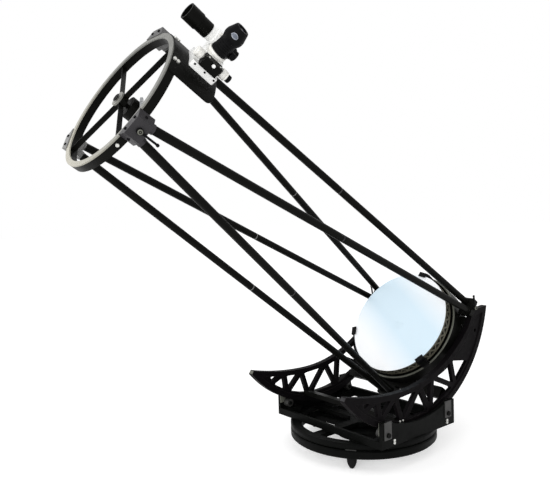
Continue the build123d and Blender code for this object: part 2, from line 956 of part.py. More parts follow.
def finder_hood():
    hood = axial_disc(hood_radius, finder_tube_front, hood_step)
    hood += axial_disc(hood_front_radius, hood_step - overrun, hood_front)
    hood -= axial_disc(hood_bore, hood_front - hood_bore_depth, hood_front + overrun)
    return finder_frame() * hood


def finder_eyepiece():
    back = finder_tube_back - finder_eye_length
    eye = axial_disc(finder_eye_radius, back, finder_tube_back)
    eye += axial_disc(finder_eye_flange, finder_tube_back - finder_flange_length, finder_tube_back)
    eye -= axial_disc(finder_cup_radius, back - overrun, back + finder_cup_depth)
    return finder_frame() * eye


def finder_bracket():
    half = finder_ring_length / 2
    low = finder_ring_places[0] - half
    high = finder_ring_places[-1] + half
    root = ring_outer - seat_draw_depth
    foot_top = board_outer + finder_foot_height
    stalk = span_box(root, finder_radius, -finder_stalk_half, finder_stalk_half, low, high)
    stalk += span_box(root, foot_top, -finder_foot_half, finder_foot_half, low, high)
    for place in finder_ring_places:
        stalk += Pos(finder_radius, 0, 0) * axial_disc(finder_ring_radius, place - half, place + half)
    stalk -= Pos(finder_radius, 0, 0) * axial_disc(finder_tube_radius, low - overrun, high + overrun)
    stalk -= axial_disc(board_outer, low - overrun, high + overrun)
    return station(finder_angle) * stalk


# Ground ring, feet and azimuth bearing
def foot_angles():
    return [foot_angle + 120 * turn for turn in range(3)]


def spoked_disc(low, high, hub, hub_bore, spokes, width, spoke_low, spoke_high):
    disc = axial_ring(disc_radius, disc_rim_inner, low, high)
    disc = chamfer(disc.edges().filter_by(GeomType.CIRCLE), disc_edge)
    disc += axial_disc(hub, low, high)
    reach = disc_rim_inner + disc_edge
    for angle in spokes:
        disc += station(angle) * span_box(0, reach, -width / 2, width / 2, spoke_low, spoke_high)
    return disc - axial_disc(hub_bore, low - overrun, high + overrun)


def ground_ring():
    spoke_low = ground_bottom + spoke_lift
    return spoked_disc(
        ground_bottom, ground_top, ground_hub_radius, pivot_radius,
        foot_angles(), spoke_width, spoke_low, spoke_low + spoke_height,
    )


def ground_feet():
    shoulder = ground_bottom - foot_straight
    middle_radius = foot_tip_radius + foot_swell_share * (foot_radius - foot_tip_radius)
    outline = [
        Line((0, 0), (foot_tip_radius, 0)),
        ThreePointArc((foot_tip_radius, 0), (middle_radius, shoulder / 2), (foot_radius, shoulder)),
        Line((foot_radius, shoulder), (foot_radius, ground_bottom)),
        Line((foot_radius, ground_bottom), (0, ground_bottom)),
        Line((0, ground_bottom), (0, 0)),
    ]
    foot = revolve(Plane.XZ * make_face(outline), Axis.Z)
    return Compound([station(angle) * Pos(foot_circle, 0, 0) * foot for angle in foot_angles()])


def azimuth_pads():
    middle = (disc_radius + disc_rim_inner) / 2
    pad = span_box(
        middle - pad_width / 2, middle + pad_width / 2, -pad_length / 2, pad_length / 2,
        ground_top, turntable_bottom - running_clearance,
    )
    return Compound([station(angle) * pad for angle in foot_angles()])


def pivot_bolt():
    seat = turntable_top + face_clearance
    bolt = axial_disc(pivot_radius, ground_top - pivot_depth, seat + overrun)
    return bolt + axial_disc(pivot_head_radius, seat, seat + pivot_head_height)


# Rocker
def turntable():
    return spoked_disc(
        turntable_bottom, turntable_top, turntable_hub_radius, pivot_radius + running_clearance,
        (0, 90, 180, 270), turntable_spoke_width, turntable_top - turntable_spoke_height, turntable_top,
    )


def roller_centres():
    """World Y and Z of the front and the rear roller."""
    height = axis_height - roller_drop
    return {"front": (-roller_reach, height), "rear": (roller_reach, height)}


def side_panel(side):
    shoulder = turntable_top + panel_shoulder_height
    reach = sqrt(panel_arc_radius ** 2 - (axis_height - shoulder) ** 2)
    edges = [
        Line((panel_front, turntable_top), (panel_rear, turntable_top)),
        Line((panel_rear, turntable_top), (panel_rear, shoulder)),
        Line((panel_rear, shoulder), (reach, shoulder)),
        ThreePointArc((reach, shoulder), (0, axis_height - panel_arc_radius), (-reach, shoulder)),
        Line((-reach, shoulder), (panel_front, shoulder)),
        Line((panel_front, shoulder), (panel_front, turntable_top)),
    ]
    start = panel_inner_face if side > 0 else -panel_inner_face - panel_thickness
    plane = Plane((start, 0, 0), x_dir=(0, 1, 0), z_dir=(1, 0, 0))
    panel = plane * extrude(make_face(edges), panel_thickness)
    for y, z in roller_centres().values():
        panel -= rod_along_x(axle_radius, start - overrun, start + panel_thickness + overrun, y, z)
    return panel


def front_rail():
    back = panel_front + rail_thickness
    return span_box(
        -panel_inner_face, panel_inner_face, panel_front, back,
        turntable_top, turntable_top + front_rail_height,
    )


def rear_panel():
    back = panel_rear - rear_panel_inset
    return span_box(
        -panel_inner_face, panel_inner_face, back - rail_thickness, back,
        turntable_top, turntable_top + rear_panel_height,
    )


def corner_blocks():
    front = panel_front + rail_thickness
    rear = panel_rear - rear_panel_inset - rail_thickness
    inner = panel_inner_face - block_width
    top = turntable_top + block_height
    blocks = []
    for side in (-1, 1):
        for start, end in ((front, front + block_length), (rear - block_length, rear)):
            blocks.append(span_box(side * inner, side * panel_inner_face, start, end, turntable_top, top))
    return Compound(blocks)


def plate_face():
    return panel_inner_face + panel_thickness


def roller_plates():
    top = turntable_top + panel_shoulder_height
    plates = []
    for side in (-1, 1):
        for y, z in roller_centres().values():
            start = side * plate_face()
            end = start + side * plate_thickness
            plate = span_box(start, end, y - plate_width / 2, y + plate_width / 2, top - plate_height, top)
            plates.append(plate - rod_along_x(axle_radius, start - side, end + side, y, z))
    return Compound(plates)


def roller_axles():
    head = plate_face() + plate_thickness
    collar = crescent_inner_face - roller_side_gap
    axles = []
    for side in (-1, 1):
        for y, z in roller_centres().values():
            axle = rod_along_x(axle_radius, side * (collar - overrun), side * (head + overrun), y, z)
            axle += rod_along_x(axle_head_radius, side * head, side * (head + axle_head_height), y, z)
            inner = collar - axle_collar_height
            axle += rod_along_x(axle_collar_radius, side * inner, side * collar, y, z)
            axles.append(axle)
    return Compound(axles)


def roller(side, place):
    y, z = roller_centres()[place]
    start = crescent_inner_face + roller_side_gap
    end = crescent_outer_face - roller_side_gap
    wheel = rod_along_x(roller_radius, side * start, side * end, y, z)
    bore = axle_radius + running_clearance
    return wheel - rod_along_x(bore, side * (start - overrun), side * (end + overrun), y, z)


def panel_screws():
    """Pairs of screws beside each roller plate, one above the other."""
    front = panel_screw_inset - roller_reach
    rear = roller_reach - panel_screw_rear_inset
    screws = []
    for side in (-1, 1):
        start = side * plate_face()
        end = start + side * panel_screw_height
        for y in (front, rear):
            for rise in panel_screw_rises:
                screws.append(rod_along_x(panel_screw_radius, start, end, y, turntable_top + rise))
    return Compound(screws)


# Ground body
add("ground_ring", ground_ring())
add("ground_feet", ground_feet())
add("azimuth_pads", azimuth_pads())
add("pivot_bolt", pivot_bolt())

# Rocker body and rollers
add("turntable", turntable())
add("side_panel_near", side_panel(1))
add("side_panel_far", side_panel(-1))
add("front_rail", front_rail())
add("rear_panel", rear_panel())
add("corner_blocks", corner_blocks())
add("roller_plates", roller_plates())
add("roller_axles", roller_axles())
add("panel_screws", panel_screws())
for side_name, side_sign in (("near", 1), ("far", -1)):
    for roller_place in ("front", "rear"):
        add(f"roller_{roller_place}_{side_name}", roller(side_sign, roller_place))

# Tube body: crescents, cross members and mirror cell
add("crescent_near", crescent(1))
add("crescent_far", crescent(-1))
add("front_tie", front_tie())
add_on_tube("lower_beam", cross_beam(*lower_beam_span))
add_on_tube("upper_beam", cross_beam(*upper_beam_span))
add_on_tube("mirror_tub", mirror_tub())
add_on_tube("mirror_carrier", mirror_carrier())
add_on_tube("primary_mirror", primary_mirror())
add_on_tube("mirror_clips", mirror_clips())
add_on_tube("collimation_bolts", collimation_bolts())

# Truss
add_on_tube("truss_tubes_lower", lower_tubes())
add_on_tube("truss_tubes_upper", upper_tubes())
add_on_tube("tube_joints", tube_joints())
add_on_tube("lower_clamp_right", lower_clamp_side("right", 1))
add_on_tube("lower_clamp_back", lower_clamp_side("back", -1))
add_on_tube("lower_clamp_bottom", bottom_clamp())
add_on_tube("lower_lever_right", lower_lever(1))
add_on_tube("lower_lever_back", lower_lever(-1))

# Upper ring, spider and secondary
add_on_tube("upper_ring", upper_ring())
add_on_tube("ring_trim", ring_trim())
for bracket_place in top_angles:
    add_on_tube(f"upper_bracket_{bracket_place}", upper_bracket(bracket_place))
    add_on_tube(f"upper_lever_{bracket_place}", upper_lever(bracket_place))
add_on_tube("spider", spider())
add_on_tube("spider_cap", spider_cap())
add_on_tube("ring_screws", Compound(spider_screws() + board_screws()))
add_on_tube("secondary_holder", secondary_holder())
add_on_tube("secondary_mirror", secondary_mirror())

# Focuser, eyepiece and finder
add_on_tube("focuser_board", focuser_board())
add_on_tube("focuser_base", focuser_base())
add_on_tube("focuser_body", focuser_body())
add_on_tube("pinion_block", pinion_block())
add_on_tube("pinion_knobs", pinion_knobs())
add_on_tube("fine_knob", fine_knob())
add_on_tube("drawtube", drawtube())
add_on_tube("eyepiece", eyepiece())
add_on_tube("finder_bracket", finder_bracket())
add_on_tube("finder_tube", finder_tube())
add_on_tube("finder_hood", finder_hood())
add_on_tube("finder_eyepiece", finder_eyepiece())

os.makedirs("parts", exist_ok=True)
for node_name, node_shape in nodes.items():
    export_step(node_shape, f"parts/{node_name}.step")
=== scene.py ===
import json
import math

import bpy
from bpy.props import FloatProperty, FloatVectorProperty, IntProperty, PointerProperty
from mathutils import Matrix, Vector


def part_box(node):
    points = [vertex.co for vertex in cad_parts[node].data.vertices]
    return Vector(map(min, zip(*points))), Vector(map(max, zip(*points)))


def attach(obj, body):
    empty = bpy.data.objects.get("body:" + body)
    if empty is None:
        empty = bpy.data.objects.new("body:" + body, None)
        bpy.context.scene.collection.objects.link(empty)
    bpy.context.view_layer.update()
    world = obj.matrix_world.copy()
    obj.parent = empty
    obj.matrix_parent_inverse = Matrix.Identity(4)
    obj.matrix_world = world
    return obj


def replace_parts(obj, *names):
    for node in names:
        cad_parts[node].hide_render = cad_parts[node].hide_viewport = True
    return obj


bl_info = {
    "name": "Truss reflector dressing",
    "version": (1, 0, 0),
    "blender": (4, 5, 0),
    "location": "View3D > Sidebar > Telescope",
    "description": "Finishes and small fittings for a truss-tube reflector on a rocker base",
    "category": "Object",
}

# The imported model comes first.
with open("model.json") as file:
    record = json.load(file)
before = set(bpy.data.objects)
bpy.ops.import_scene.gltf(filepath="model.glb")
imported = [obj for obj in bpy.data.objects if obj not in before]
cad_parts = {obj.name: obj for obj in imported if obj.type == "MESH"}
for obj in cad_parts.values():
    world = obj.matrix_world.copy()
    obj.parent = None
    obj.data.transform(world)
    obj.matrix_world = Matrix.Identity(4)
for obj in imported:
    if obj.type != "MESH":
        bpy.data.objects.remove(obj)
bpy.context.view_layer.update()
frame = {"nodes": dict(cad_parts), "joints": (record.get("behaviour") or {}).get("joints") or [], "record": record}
joints = {joint["name"]: joint for joint in frame["joints"]}
slots = {entry["node"]: entry["material_slot"] for entry in frame["record"]["subparts"]}

# The tube's own frame: X along the altitude axis, Z along the optical axis
altitude_pivot = Vector(joints["altitude_tilt"]["pos_m"])
optical_axis = -Vector(joints["pinion_turn"]["axis"])
side_axis = Vector((1, 0, 0))
tube_turn = Matrix((side_axis, optical_axis.cross(side_axis), optical_axis)).transposed().to_4x4()
tube_frame = Matrix.Translation(altitude_pivot) @ tube_turn


def station(angle, radius=0.0, tangent=0.0, axial=0.0):
    """Place on the tube: local X is radial, Y tangential and Z axial."""
    spin = Matrix.Rotation(math.radians(angle), 4, "Z")
    return tube_frame @ spin @ Matrix.Translation((radius, tangent, axial))


def turn(degrees, axis):
    return Matrix.Rotation(math.radians(degrees), 4, axis)


def lift(height):
    return Matrix.Translation((0, 0, height))


def outward(angle, radius, tangent, axial):
    """Place on the tube with local Z pointing straight out from the optical axis."""
    return station(angle, radius, tangent, axial) @ turn(90, "Y")


def along_x(x, y, z):
    """Place in the row frame with local Z pointing away from the middle, along X."""
    return Matrix.Translation((x, y, z)) @ turn(90 if x > 0 else -90, "Y")


def middle(node):
    """Middle of a node as (angle round the tube, distance from the optical axis, place along it)."""
    low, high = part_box(node)
    x, y, axial = tube_frame.inverted() @ ((low + high) / 2)
    return math.degrees(math.atan2(y, x)), math.hypot(x, y), axial


def reach(node, place):
    """Lowest and highest corner of a node along the axes of a place."""
    inverse = place.inverted()
    points = [inverse @ vertex.co for vertex in frame["nodes"][node].data.vertices]
    low = Vector([min(point[axis] for point in points) for axis in range(3)])
    high = Vector([max(point[axis] for point in points) for axis in range(3)])
    return low, high


# Places of the focuser and the finder on the tube
focuser_angle, _, focuser_axial = middle("drawtube")
drawtube_top = reach("drawtube", station(focuser_angle))[1].x
finder_angle, finder_radius, _ = middle("finder_tube")

# Angles round the tube, in degrees, of the brackets on the upper ring and of the mirror's clips
bracket_angles = {"top": 90, "near": -30, "left": 210}
clip_angles = (-40, 80, 200)

# The photograph's camera: place in metres, angles in degrees, focal length and width in pixels
camera_place = (1.9539, -2.0922, 1.0702)
camera_azimuth, camera_elevation, camera_roll = 50.8, 2.9, -1.6
camera_focal = 629.9
photo_width = 550
camera_shift = (0.0033, 0.0038)
sensor_width = 36.0

# Lamps: name, place, width in metres, power in watts
lamps = (
    ("key_lamp", (-2.8, -2.8, 2.4), 2.6, 28.0),
    ("fill_lamp", (1.9, -3.9, 1.6), 2.6, 58.0),
    ("top_lamp", (0.2, 0.6, 4.2), 3.0, 8.0),
)
lamp_aim = Vector((0, -0.4, 0.8))

# Profiles of turned pieces, as rings of (height, radius) from the seat up, in metres
profiles = {
    "lever_cap": [
        (0.0, 0.0075), (0.0005, 0.0085), (0.003, 0.0085),
        (0.0042, 0.0072), (0.0042, 0.0052), (0.0028, 0.0046),
    ],
    "lever_bolt": [(0.0020, 0.0044), (0.0036, 0.0044), (0.0040, 0.0040), (0.0040, 0.0026), (0.0026, 0.0024)],
    "eyepiece_foot": [(0.0001, 0.0255), (0.0001, 0.0295), (0.0012, 0.0302), (0.013, 0.0298)],
    "eyepiece_groove": [
        (0.0, 0.0286), (0.0008, 0.0274), (0.0024, 0.0274), (0.0032, 0.0286), (0.0062, 0.0286),
    ],
    "eyepiece_head": [
        (0.048, 0.0288), (0.059, 0.0334), (0.064, 0.0349), (0.070, 0.0353), (0.078, 0.0348), (0.105, 0.0258),
        (0.108, 0.0240), (0.108, 0.0180), (0.1065, 0.0170), (0.103, 0.0165), (0.103, 0.0140),
    ],
    "eye_lens": [(0.1005, 0.0142), (0.1025, 0.0142), (0.1035, 0.0110), (0.1040, 0.0060), (0.1041, 0.0008)],
    "eyepiece_barrel": [
        (-0.040, 0.0225), (-0.040, 0.0249), (-0.0392, 0.0254), (-0.022, 0.0254),
        (-0.021, 0.0246), (-0.011, 0.0246), (-0.010, 0.0254), (0.0002, 0.0254),
    ],
    "eyepiece_clamp_screw": [
        (0.0260, 0.0040), (0.0308, 0.0040), (0.0308, 0.0112), (0.0318, 0.0125), (0.0328, 0.0125),
        (0.0493, 0.0125), (0.0508, 0.0115), (0.0508, 0.0070), (0.0500, 0.0060), (0.0500, 0.0008),
    ],
    "tension_knob": [
        (-0.001, 0.0028), (0.002, 0.0028), (0.0025, 0.0045), (0.0045, 0.0060),
        (0.0070, 0.0064), (0.0095, 0.0058), (0.0115, 0.0040), (0.0123, 0.0015),
    ],
    "finder_lens": [
        (0.0, 0.0248), (0.003, 0.0248), (0.0045, 0.0235),
        (0.0067, 0.0165), (0.0077, 0.008), (0.008, 0.001),
    ],
    "finder_rear_lens": [(0.0, 0.0108), (0.001, 0.0108), (0.002, 0.008), (0.0025, 0.001)],
    "finder_rear_collar": [
        (0.0, 0.0255), (0.0, 0.0262), (0.0008, 0.0268),
        (0.0162, 0.0268), (0.017, 0.0262), (0.017, 0.0255),
    ],
    "finder_aiming_screw": [
        (-0.001, 0.0025), (0.006, 0.0025), (0.006, 0.0048), (0.007, 0.0055),
        (0.0135, 0.0055), (0.0145, 0.0048), (0.0145, 0.0008),
    ],
}

# Rings of (height, share of a radius). In the knob the height is a share too, of the knob's length.
knob_shares = [
    (0.0, 0.62), (0.0, 0.90), (0.08, 0.97), (0.12, 0.97), (0.66, 0.97), (0.68, 0.88), (0.76, 0.88),
    (0.78, 1.0), (0.95, 1.0), (1.0, 0.93), (1.0, 0.66), (0.93, 0.58), (0.93, 0.05),
]
centre_bolt_shares = [
    (-0.0005, 0.52), (0.0012, 0.52), (0.0018, 0.48), (0.0018, 0.30), (0.0008, 0.28), (0.0008, 0.05),
]

# Rings of the tub's rolled lip: height over the tub's mouth, step out from the tub's outside
tub_lip_steps = [
    (-0.0002, -0.0058), (0.0009, -0.0055), (0.0014, -0.0040), (0.0014, 0.0006), (0.0006, 0.0016),
    (-0.0030, 0.0016), (-0.0036, 0.0010), (-0.0036, -0.0002), (-0.0002, -0.0002),
]

weld_distance = 0.00001
smooth_angle = math.radians(35)


def hue(label, note, value):
    """A colour that a user can change."""
    return FloatVectorProperty(name=label, description=note, default=value, subtype="COLOR", min=0, max=1)


def measure(label, note, value):
    """A size in metres that a user can change."""
    return FloatProperty(
        name=label, description=note, default=value, subtype="DISTANCE", unit="LENGTH", precision=5
    )


class TelescopeColours(bpy.types.PropertyGroup):
    """Colours of the finishes"""

    black: hue("Black paint", "Powder coat of the base and panels", (0.0028, 0.0031, 0.0028))
    tube: hue("Black anodising", "Truss tubes, upper ring and boards", (0.0032, 0.0032, 0.0027))
    casting: hue("Crescent casting", "Dark brown-black paint of the crescents", (0.0034, 0.0028, 0.0033))
    # Painted highlight: the crescents' edges are painted lighter, in patches, where light would catch them.
    casting_edge_highlight: hue("Casting edges", "Edges rubbed lighter by handling", (0.030, 0.025, 0.026))
    # Painted light: the ring trim is one grey, painted paler on its lower part where it faces the light.
    trim: hue("Ring trim, upper part", "Front annulus of the upper ring", (0.185, 0.185, 0.170))
    trim_painted_light: hue("Ring trim, lower part", "Front annulus where it faces the light", (0.42, 0.40, 0.33))
    # Painted light and shade: the brackets are one grey, painted darker on the near side and paler on the far
    # side, with a painted highlight along their edges.
    bracket: hue("Bracket grey, near", "Brackets on the upper ring", (0.026, 0.0245, 0.027))
    bracket_edge_highlight: hue("Bracket edges", "Edges of the brackets", (0.11, 0.105, 0.107))
    bracket_painted_light: hue("Bracket grey, far", "Brackets where they face the light", (0.20, 0.20, 0.195))
    # Painted highlight: the roller plates' edges are painted lighter.
    plate: hue("Plate grey", "Roller plates on the panels", (0.052, 0.051, 0.050))
    plate_edge_highlight: hue("Plate edges", "Edges of the roller plates", (0.14, 0.14, 0.135))
    white: hue("White paint", "Focuser base and finder tube", (0.98, 0.98, 0.965))
    silver: hue("Bright metal", "Knobs, caps and drawtube", (0.84, 0.83, 0.79))
    plastic: hue("Black plastic", "Levers, grips and eyepiece", (0.0034, 0.0034, 0.0038))
    # Painted reflection: the mirror's face is painted with the sky's reflection, cool in the middle and pale at
    # both ends.
    mirror_reflection_cool: hue("Mirror, cool part", "Coated glass in the middle", (0.68, 0.83, 0.93))
    mirror_reflection_pale: hue("Mirror, pale part", "Coated glass at its low and high ends", (0.93, 0.95, 0.97))
    glass_edge: hue("Mirror side", "Ground side of the glass", (0.105, 0.098, 0.070))
    flat: hue("Oval flat", "Coated face of the oval flat", (0.34, 0.35, 0.36))
    lens_blue: hue("Lens, blue part", "Coating of the lenses", (0.008, 0.010, 0.022))
    lens_violet: hue("Lens, violet part", "Coating of the lenses", (0.016, 0.012, 0.030))
    rubber: hue("Rubber", "Feet", (0.006, 0.006, 0.006))
    pad: hue("Slide pad", "Pads between the discs", (0.03, 0.03, 0.028))
    roller: hue("Roller steel", "Rollers under the crescents", (0.045, 0.045, 0.043))
    screw: hue("Screw steel", "Bright screws and bolts", (0.60, 0.60, 0.57))
    lip: hue("Lip grey", "Tub lip, lever caps and inner plates", (0.135, 0.138, 0.115))
    badge: hue("Oval plate", "Bare oval plate on the eyepiece", (0.115, 0.130, 0.165))
    badge_rim: hue("Oval plate rim", "Rim of the bare oval plate", (0.33, 0.35, 0.40))


class TelescopeSizes(bpy.types.PropertyGroup):
    """Sizes of the fittings"""

    tube_radius: measure("Truss tube radius", "Outer radius of a truss tube", 0.015)
    tube_wall: measure("Truss tube wall", "Wall of the truss tubes", 0.003)
    tube_edge: measure("Truss tube edge", "Bevel at the ends of the truss tubes", 0.0006)
    tube_seam: measure("Truss tube seam", "Distance of a tube's end from its joint ring's middle", 0.0028)
    flat_radius: measure("Oval flat radius", "Half of the oval flat's short axis", 0.054)
    flat_thickness: measure("Oval flat thickness", "Thickness of the oval flat", 0.009)
    flat_edge: measure("Oval flat edge", "Bevel round the oval flat", 0.001)
    coarse_radius: measure("Coarse knob radius", "Outer radius of the coarse focus knobs", 0.017)
    coarse_start: measure("Coarse knob start", "Distance of a coarse knob from the shaft's middle", 0.041)
    coarse_length: measure("Coarse knob length", "Length of a coarse focus knob", 0.024)
    fine_radius: measure("Fine knob radius", "Outer radius of the fine focus knob", 0.013)
    fine_start: measure("Fine knob start", "Distance of the fine knob from the shaft's middle", 0.067)
    fine_length: measure("Fine knob length", "Length of the fine focus knob", 0.014)
    shaft_radius: measure("Shaft radius", "Radius of the coarse knobs' shaft", 0.005)
    shaft_lap: measure("Shaft lap", "Length of a shaft's end inside its knob", 0.001)
    stub_radius: measure("Stub radius", "Radius of the fine knob's stub", 0.003)
    stub_start: measure("Stub start", "Distance of the stub's root from the shaft's middle", 0.057)
    knurl_depth: measure("Knurl depth", "Height of the grips on the knobs", 0.0006)
    groove_start: measure("Groove start", "Height of the eyepiece's first grip groove", 0.016)
    groove_pitch: measure("Groove pitch", "Step from one grip groove to the next", 0.0075)
    clamp_height: measure("Clamp screw height", "Height of the eyepiece's clamp screw", 0.019)
    plate_height: measure("Oval plate height", "Height of the oval plate on the eyepiece", 0.0845)
    plate_thickness: measure("Oval plate thickness", "Thickness of the oval plate and its rim", 0.0012)
    tip_face: measure("Tip face reach", "Depth along Y in which a crescent's front tip face lies", 0.013)
    tip_width: measure("Tip cap width", "Width of the cap on a crescent's front tip", 0.0150)
    tip_thickness: measure("Tip cap thickness", "Thickness of the cap on a crescent's front tip", 0.005)
    bolt_radius: measure("Bolt radius", "Head radius of the larger bolts", 0.006)
    screw_radius: measure("Screw radius", "Head radius of the small screws", 0.0035)
    turned_sides: IntProperty(name="Turned sides", description="Sides of a turned piece", default=48, min=12)


def colours():
    return bpy.context.scene.telescope_colours


def sizes():
    return bpy.context.scene.telescope_sizes


# Finishes
def add_node(tree, kind, **settings):
    node = tree.nodes.new(kind)
    for key, value in settings.items():
        setattr(node, key, value)
    return node


def blank_finish(name):
    material = bpy.data.materials.new(name)
    material.use_nodes = True
    tree = material.node_tree
    return material, tree, tree.nodes["Principled BSDF"]


def object_place(tree):
    return add_node(tree, "ShaderNodeTexCoord").outputs["Object"]


def noise(tree, source, scale, detail=3.0, stretch=None):
    """Noise on Object coordinates, stretched along one axis where the metal is brushed or drawn."""
    if stretch:
        mapping = add_node(tree, "ShaderNodeMapping")
        mapping.inputs["Scale"].default_value = stretch
        tree.links.new(source, mapping.inputs["Vector"])
        source = mapping.outputs["Vector"]
    texture = add_node(tree, "ShaderNodeTexNoise")
    texture.inputs["Scale"].default_value = scale
    texture.inputs["Detail"].default_value = detail
    tree.links.new(source, texture.inputs["Vector"])
    return texture.outputs["Fac"]


def spread(tree, value, low, high, start=0.3, end=0.7):
    """Values from start to end, taken to the range from low to high."""
    ranged = add_node(tree, "ShaderNodeMapRange")
    for socket, number in (("From Min", start), ("From Max", end), ("To Min", low), ("To Max", high)):
        ranged.inputs[socket].default_value = number
    tree.links.new(value, ranged.inputs["Value"])
    return ranged.outputs["Result"]


def mixed(tree, share, first, second):
    """Mix of two colours or colour sockets."""
    mix = add_node(tree, "ShaderNodeMix", data_type="RGBA")
    tree.links.new(share, mix.inputs["Factor"])
    for socket, colour in ((mix.inputs[6], first), (mix.inputs[7], second)):
        if isinstance(colour, bpy.types.NodeSocket):
            tree.links.new(colour, socket)
        else:
            socket.default_value = (*colour[:3], 1)
    return mix.outputs[2]


def product(tree, first, second):
    multiply = add_node(tree, "ShaderNodeMath", operation="MULTIPLY")
    tree.links.new(first, multiply.inputs[0])
    tree.links.new(second, multiply.inputs[1])
    return multiply.outputs["Value"]


def vector_step(tree, operation, source, value=(0, 0, 0), output="Vector"):
    """One step of vector arithmetic on a socket."""
    step = add_node(tree, "ShaderNodeVectorMath", operation=operation)
    tree.links.new(source, step.inputs[0])
    step.inputs[1].default_value = value
    return step.outputs[output]


def along(tree, source, direction):
    """How far a point lies, or a normal leans, along a direction."""
    return vector_step(tree, "DOT_PRODUCT", source, direction, "Value")


def edge_share(tree, rounded):
    """Share that rises where the rounded normal leaves the flat one, along edges."""
    geometry = add_node(tree, "ShaderNodeNewGeometry")
    dot = add_node(tree, "ShaderNodeVectorMath", operation="DOT_PRODUCT")
    tree.links.new(rounded, dot.inputs[0])
    tree.links.new(geometry.outputs["True Normal"], dot.inputs[1])
    return spread(tree, dot.outputs["Value"], 1.0, 0.0, 0.72, 0.97)


def coated(name, colour, roughness=0.45, specular=0.25, metallic=0.0, mottle=0.18, grain=700.0, depth=0.00005,
           edge=None, edge_radius=0.0015, stretch=None, coat=0.0, painted_light_fade=None):
    """Painted, anodised or moulded surface: cloudy tone, uneven gloss, fine grain and softened edges, with an
    optional painted highlight along the edges and optional painted light and shade across it.
    """
    material, tree, shader = blank_finish(name)
    place = object_place(tree)
    dark = [channel * (1 - mottle) for channel in colour]
    light = [min(1.0, channel * (1 + mottle)) for channel in colour]
    tone = mixed(tree, spread(tree, noise(tree, place, 22.0, 4.0, stretch), 0.0, 1.0), dark, light)
    # Painted light and shade: a fade to the paler colour along one direction, standing in for the side that faces
    # the light.
    if painted_light_fade:
        pale, direction, low, high = painted_light_fade
        tone = mixed(tree, spread(tree, along(tree, place, direction), 0.0, 1.0, low, high), pale, tone)
    bevel = add_node(tree, "ShaderNodeBevel", samples=4)
    bevel.inputs["Radius"].default_value = edge_radius
    # Painted highlight: the edge colour is mixed in along the bevelled edges, in noisy patches, where light would
    # catch them.
    if edge:
        highlight_patches = spread(tree, noise(tree, place, 60.0), 0.35, 1.0)
        edge_highlight = product(tree, edge_share(tree, bevel.outputs["Normal"]), highlight_patches)
        tone = mixed(tree, edge_highlight, tone, edge)
    tree.links.new(tone, shader.inputs["Base Color"])
    gloss = spread(tree, noise(tree, place, 45.0, 3.0, stretch), roughness * 0.8, min(1.0, roughness * 1.2))
    tree.links.new(gloss, shader.inputs["Roughness"])
    bump = add_node(tree, "ShaderNodeBump")
    bump.inputs["Strength"].default_value = 0.6
    bump.inputs["Distance"].default_value = depth
    tree.links.new(noise(tree, place, grain, 2.0, stretch), bump.inputs["Height"])
    tree.links.new(bevel.outputs["Normal"], bump.inputs["Normal"])
    tree.links.new(bump.outputs["Normal"], shader.inputs["Normal"])
    shader.inputs["Metallic"].default_value = metallic
    shader.inputs["Specular IOR Level"].default_value = specular
    shader.inputs["Coat Weight"].default_value = coat
    return material


def mirror_coat(name):
    """Coated glass face painted with a reflection of the sky's slow change of tone, and the ground side with its
    cast ribs.
    """
    material, tree, shader = blank_finish(name)
    place = object_place(tree)
    face = mirror_face(tree, place)
    tone = mixed(tree, face, mirror_side(tree, place), painted_sky_reflection(tree, place))
    tree.links.new(tone, shader.inputs["Base Color"])
    tree.links.new(spread(tree, face, 0.55, 0.48, 0.0, 1.0), shader.inputs["Roughness"])
    tree.links.new(spread(tree, face, 0.0, 0.15, 0.0, 1.0), shader.inputs["Metallic"])
    return material


def painted_sky_reflection(tree, place):
    """Painted reflection of the sky on the coated face: pale at the low end, cool in the middle, pale again at the
    high end.
    """
    tint = colours()
    across = Vector((0.55, 0.45, 0.70))
    pale_end, cool_start, cool_end, glare_start = -0.18, -0.04, 0.10, 0.23
    low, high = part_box("primary_mirror")
    centre = ((low + high) / 2).dot(across)
    height = along(tree, place, across)
    cool_share = spread(tree, height, 0.0, 1.0, centre + pale_end, centre + cool_start)
    glare_share = spread(tree, height, 0.0, 1.0, centre + cool_end, centre + glare_start)
    sky = mixed(tree, cool_share, tint.mirror_reflection_pale, tint.mirror_reflection_cool)
    return mixed(tree, glare_share, sky, tint.mirror_reflection_pale)


def mirror_face(tree, place):
    """1 on the coated face, which looks along the optical axis near the rim's height, and 0 elsewhere."""
    geometry = add_node(tree, "ShaderNodeNewGeometry")
    own_normal = add_node(
        tree, "ShaderNodeVectorTransform", vector_type="NORMAL", convert_from="WORLD", convert_to="OBJECT"
    )
    tree.links.new(geometry.outputs["True Normal"], own_normal.inputs["Vector"])
    facing = spread(tree, along(tree, own_normal.outputs["Vector"], optical_axis), 0.0, 1.0, 0.85, 0.93)
    face_depth, blend = 0.014, 0.002
    floor = altitude_pivot.dot(optical_axis) + reach("primary_mirror", tube_frame)[1].z - face_depth
    upper = spread(tree, along(tree, place, optical_axis), 0.0, 1.0, floor, floor + blend)
    return product(tree, facing, upper)


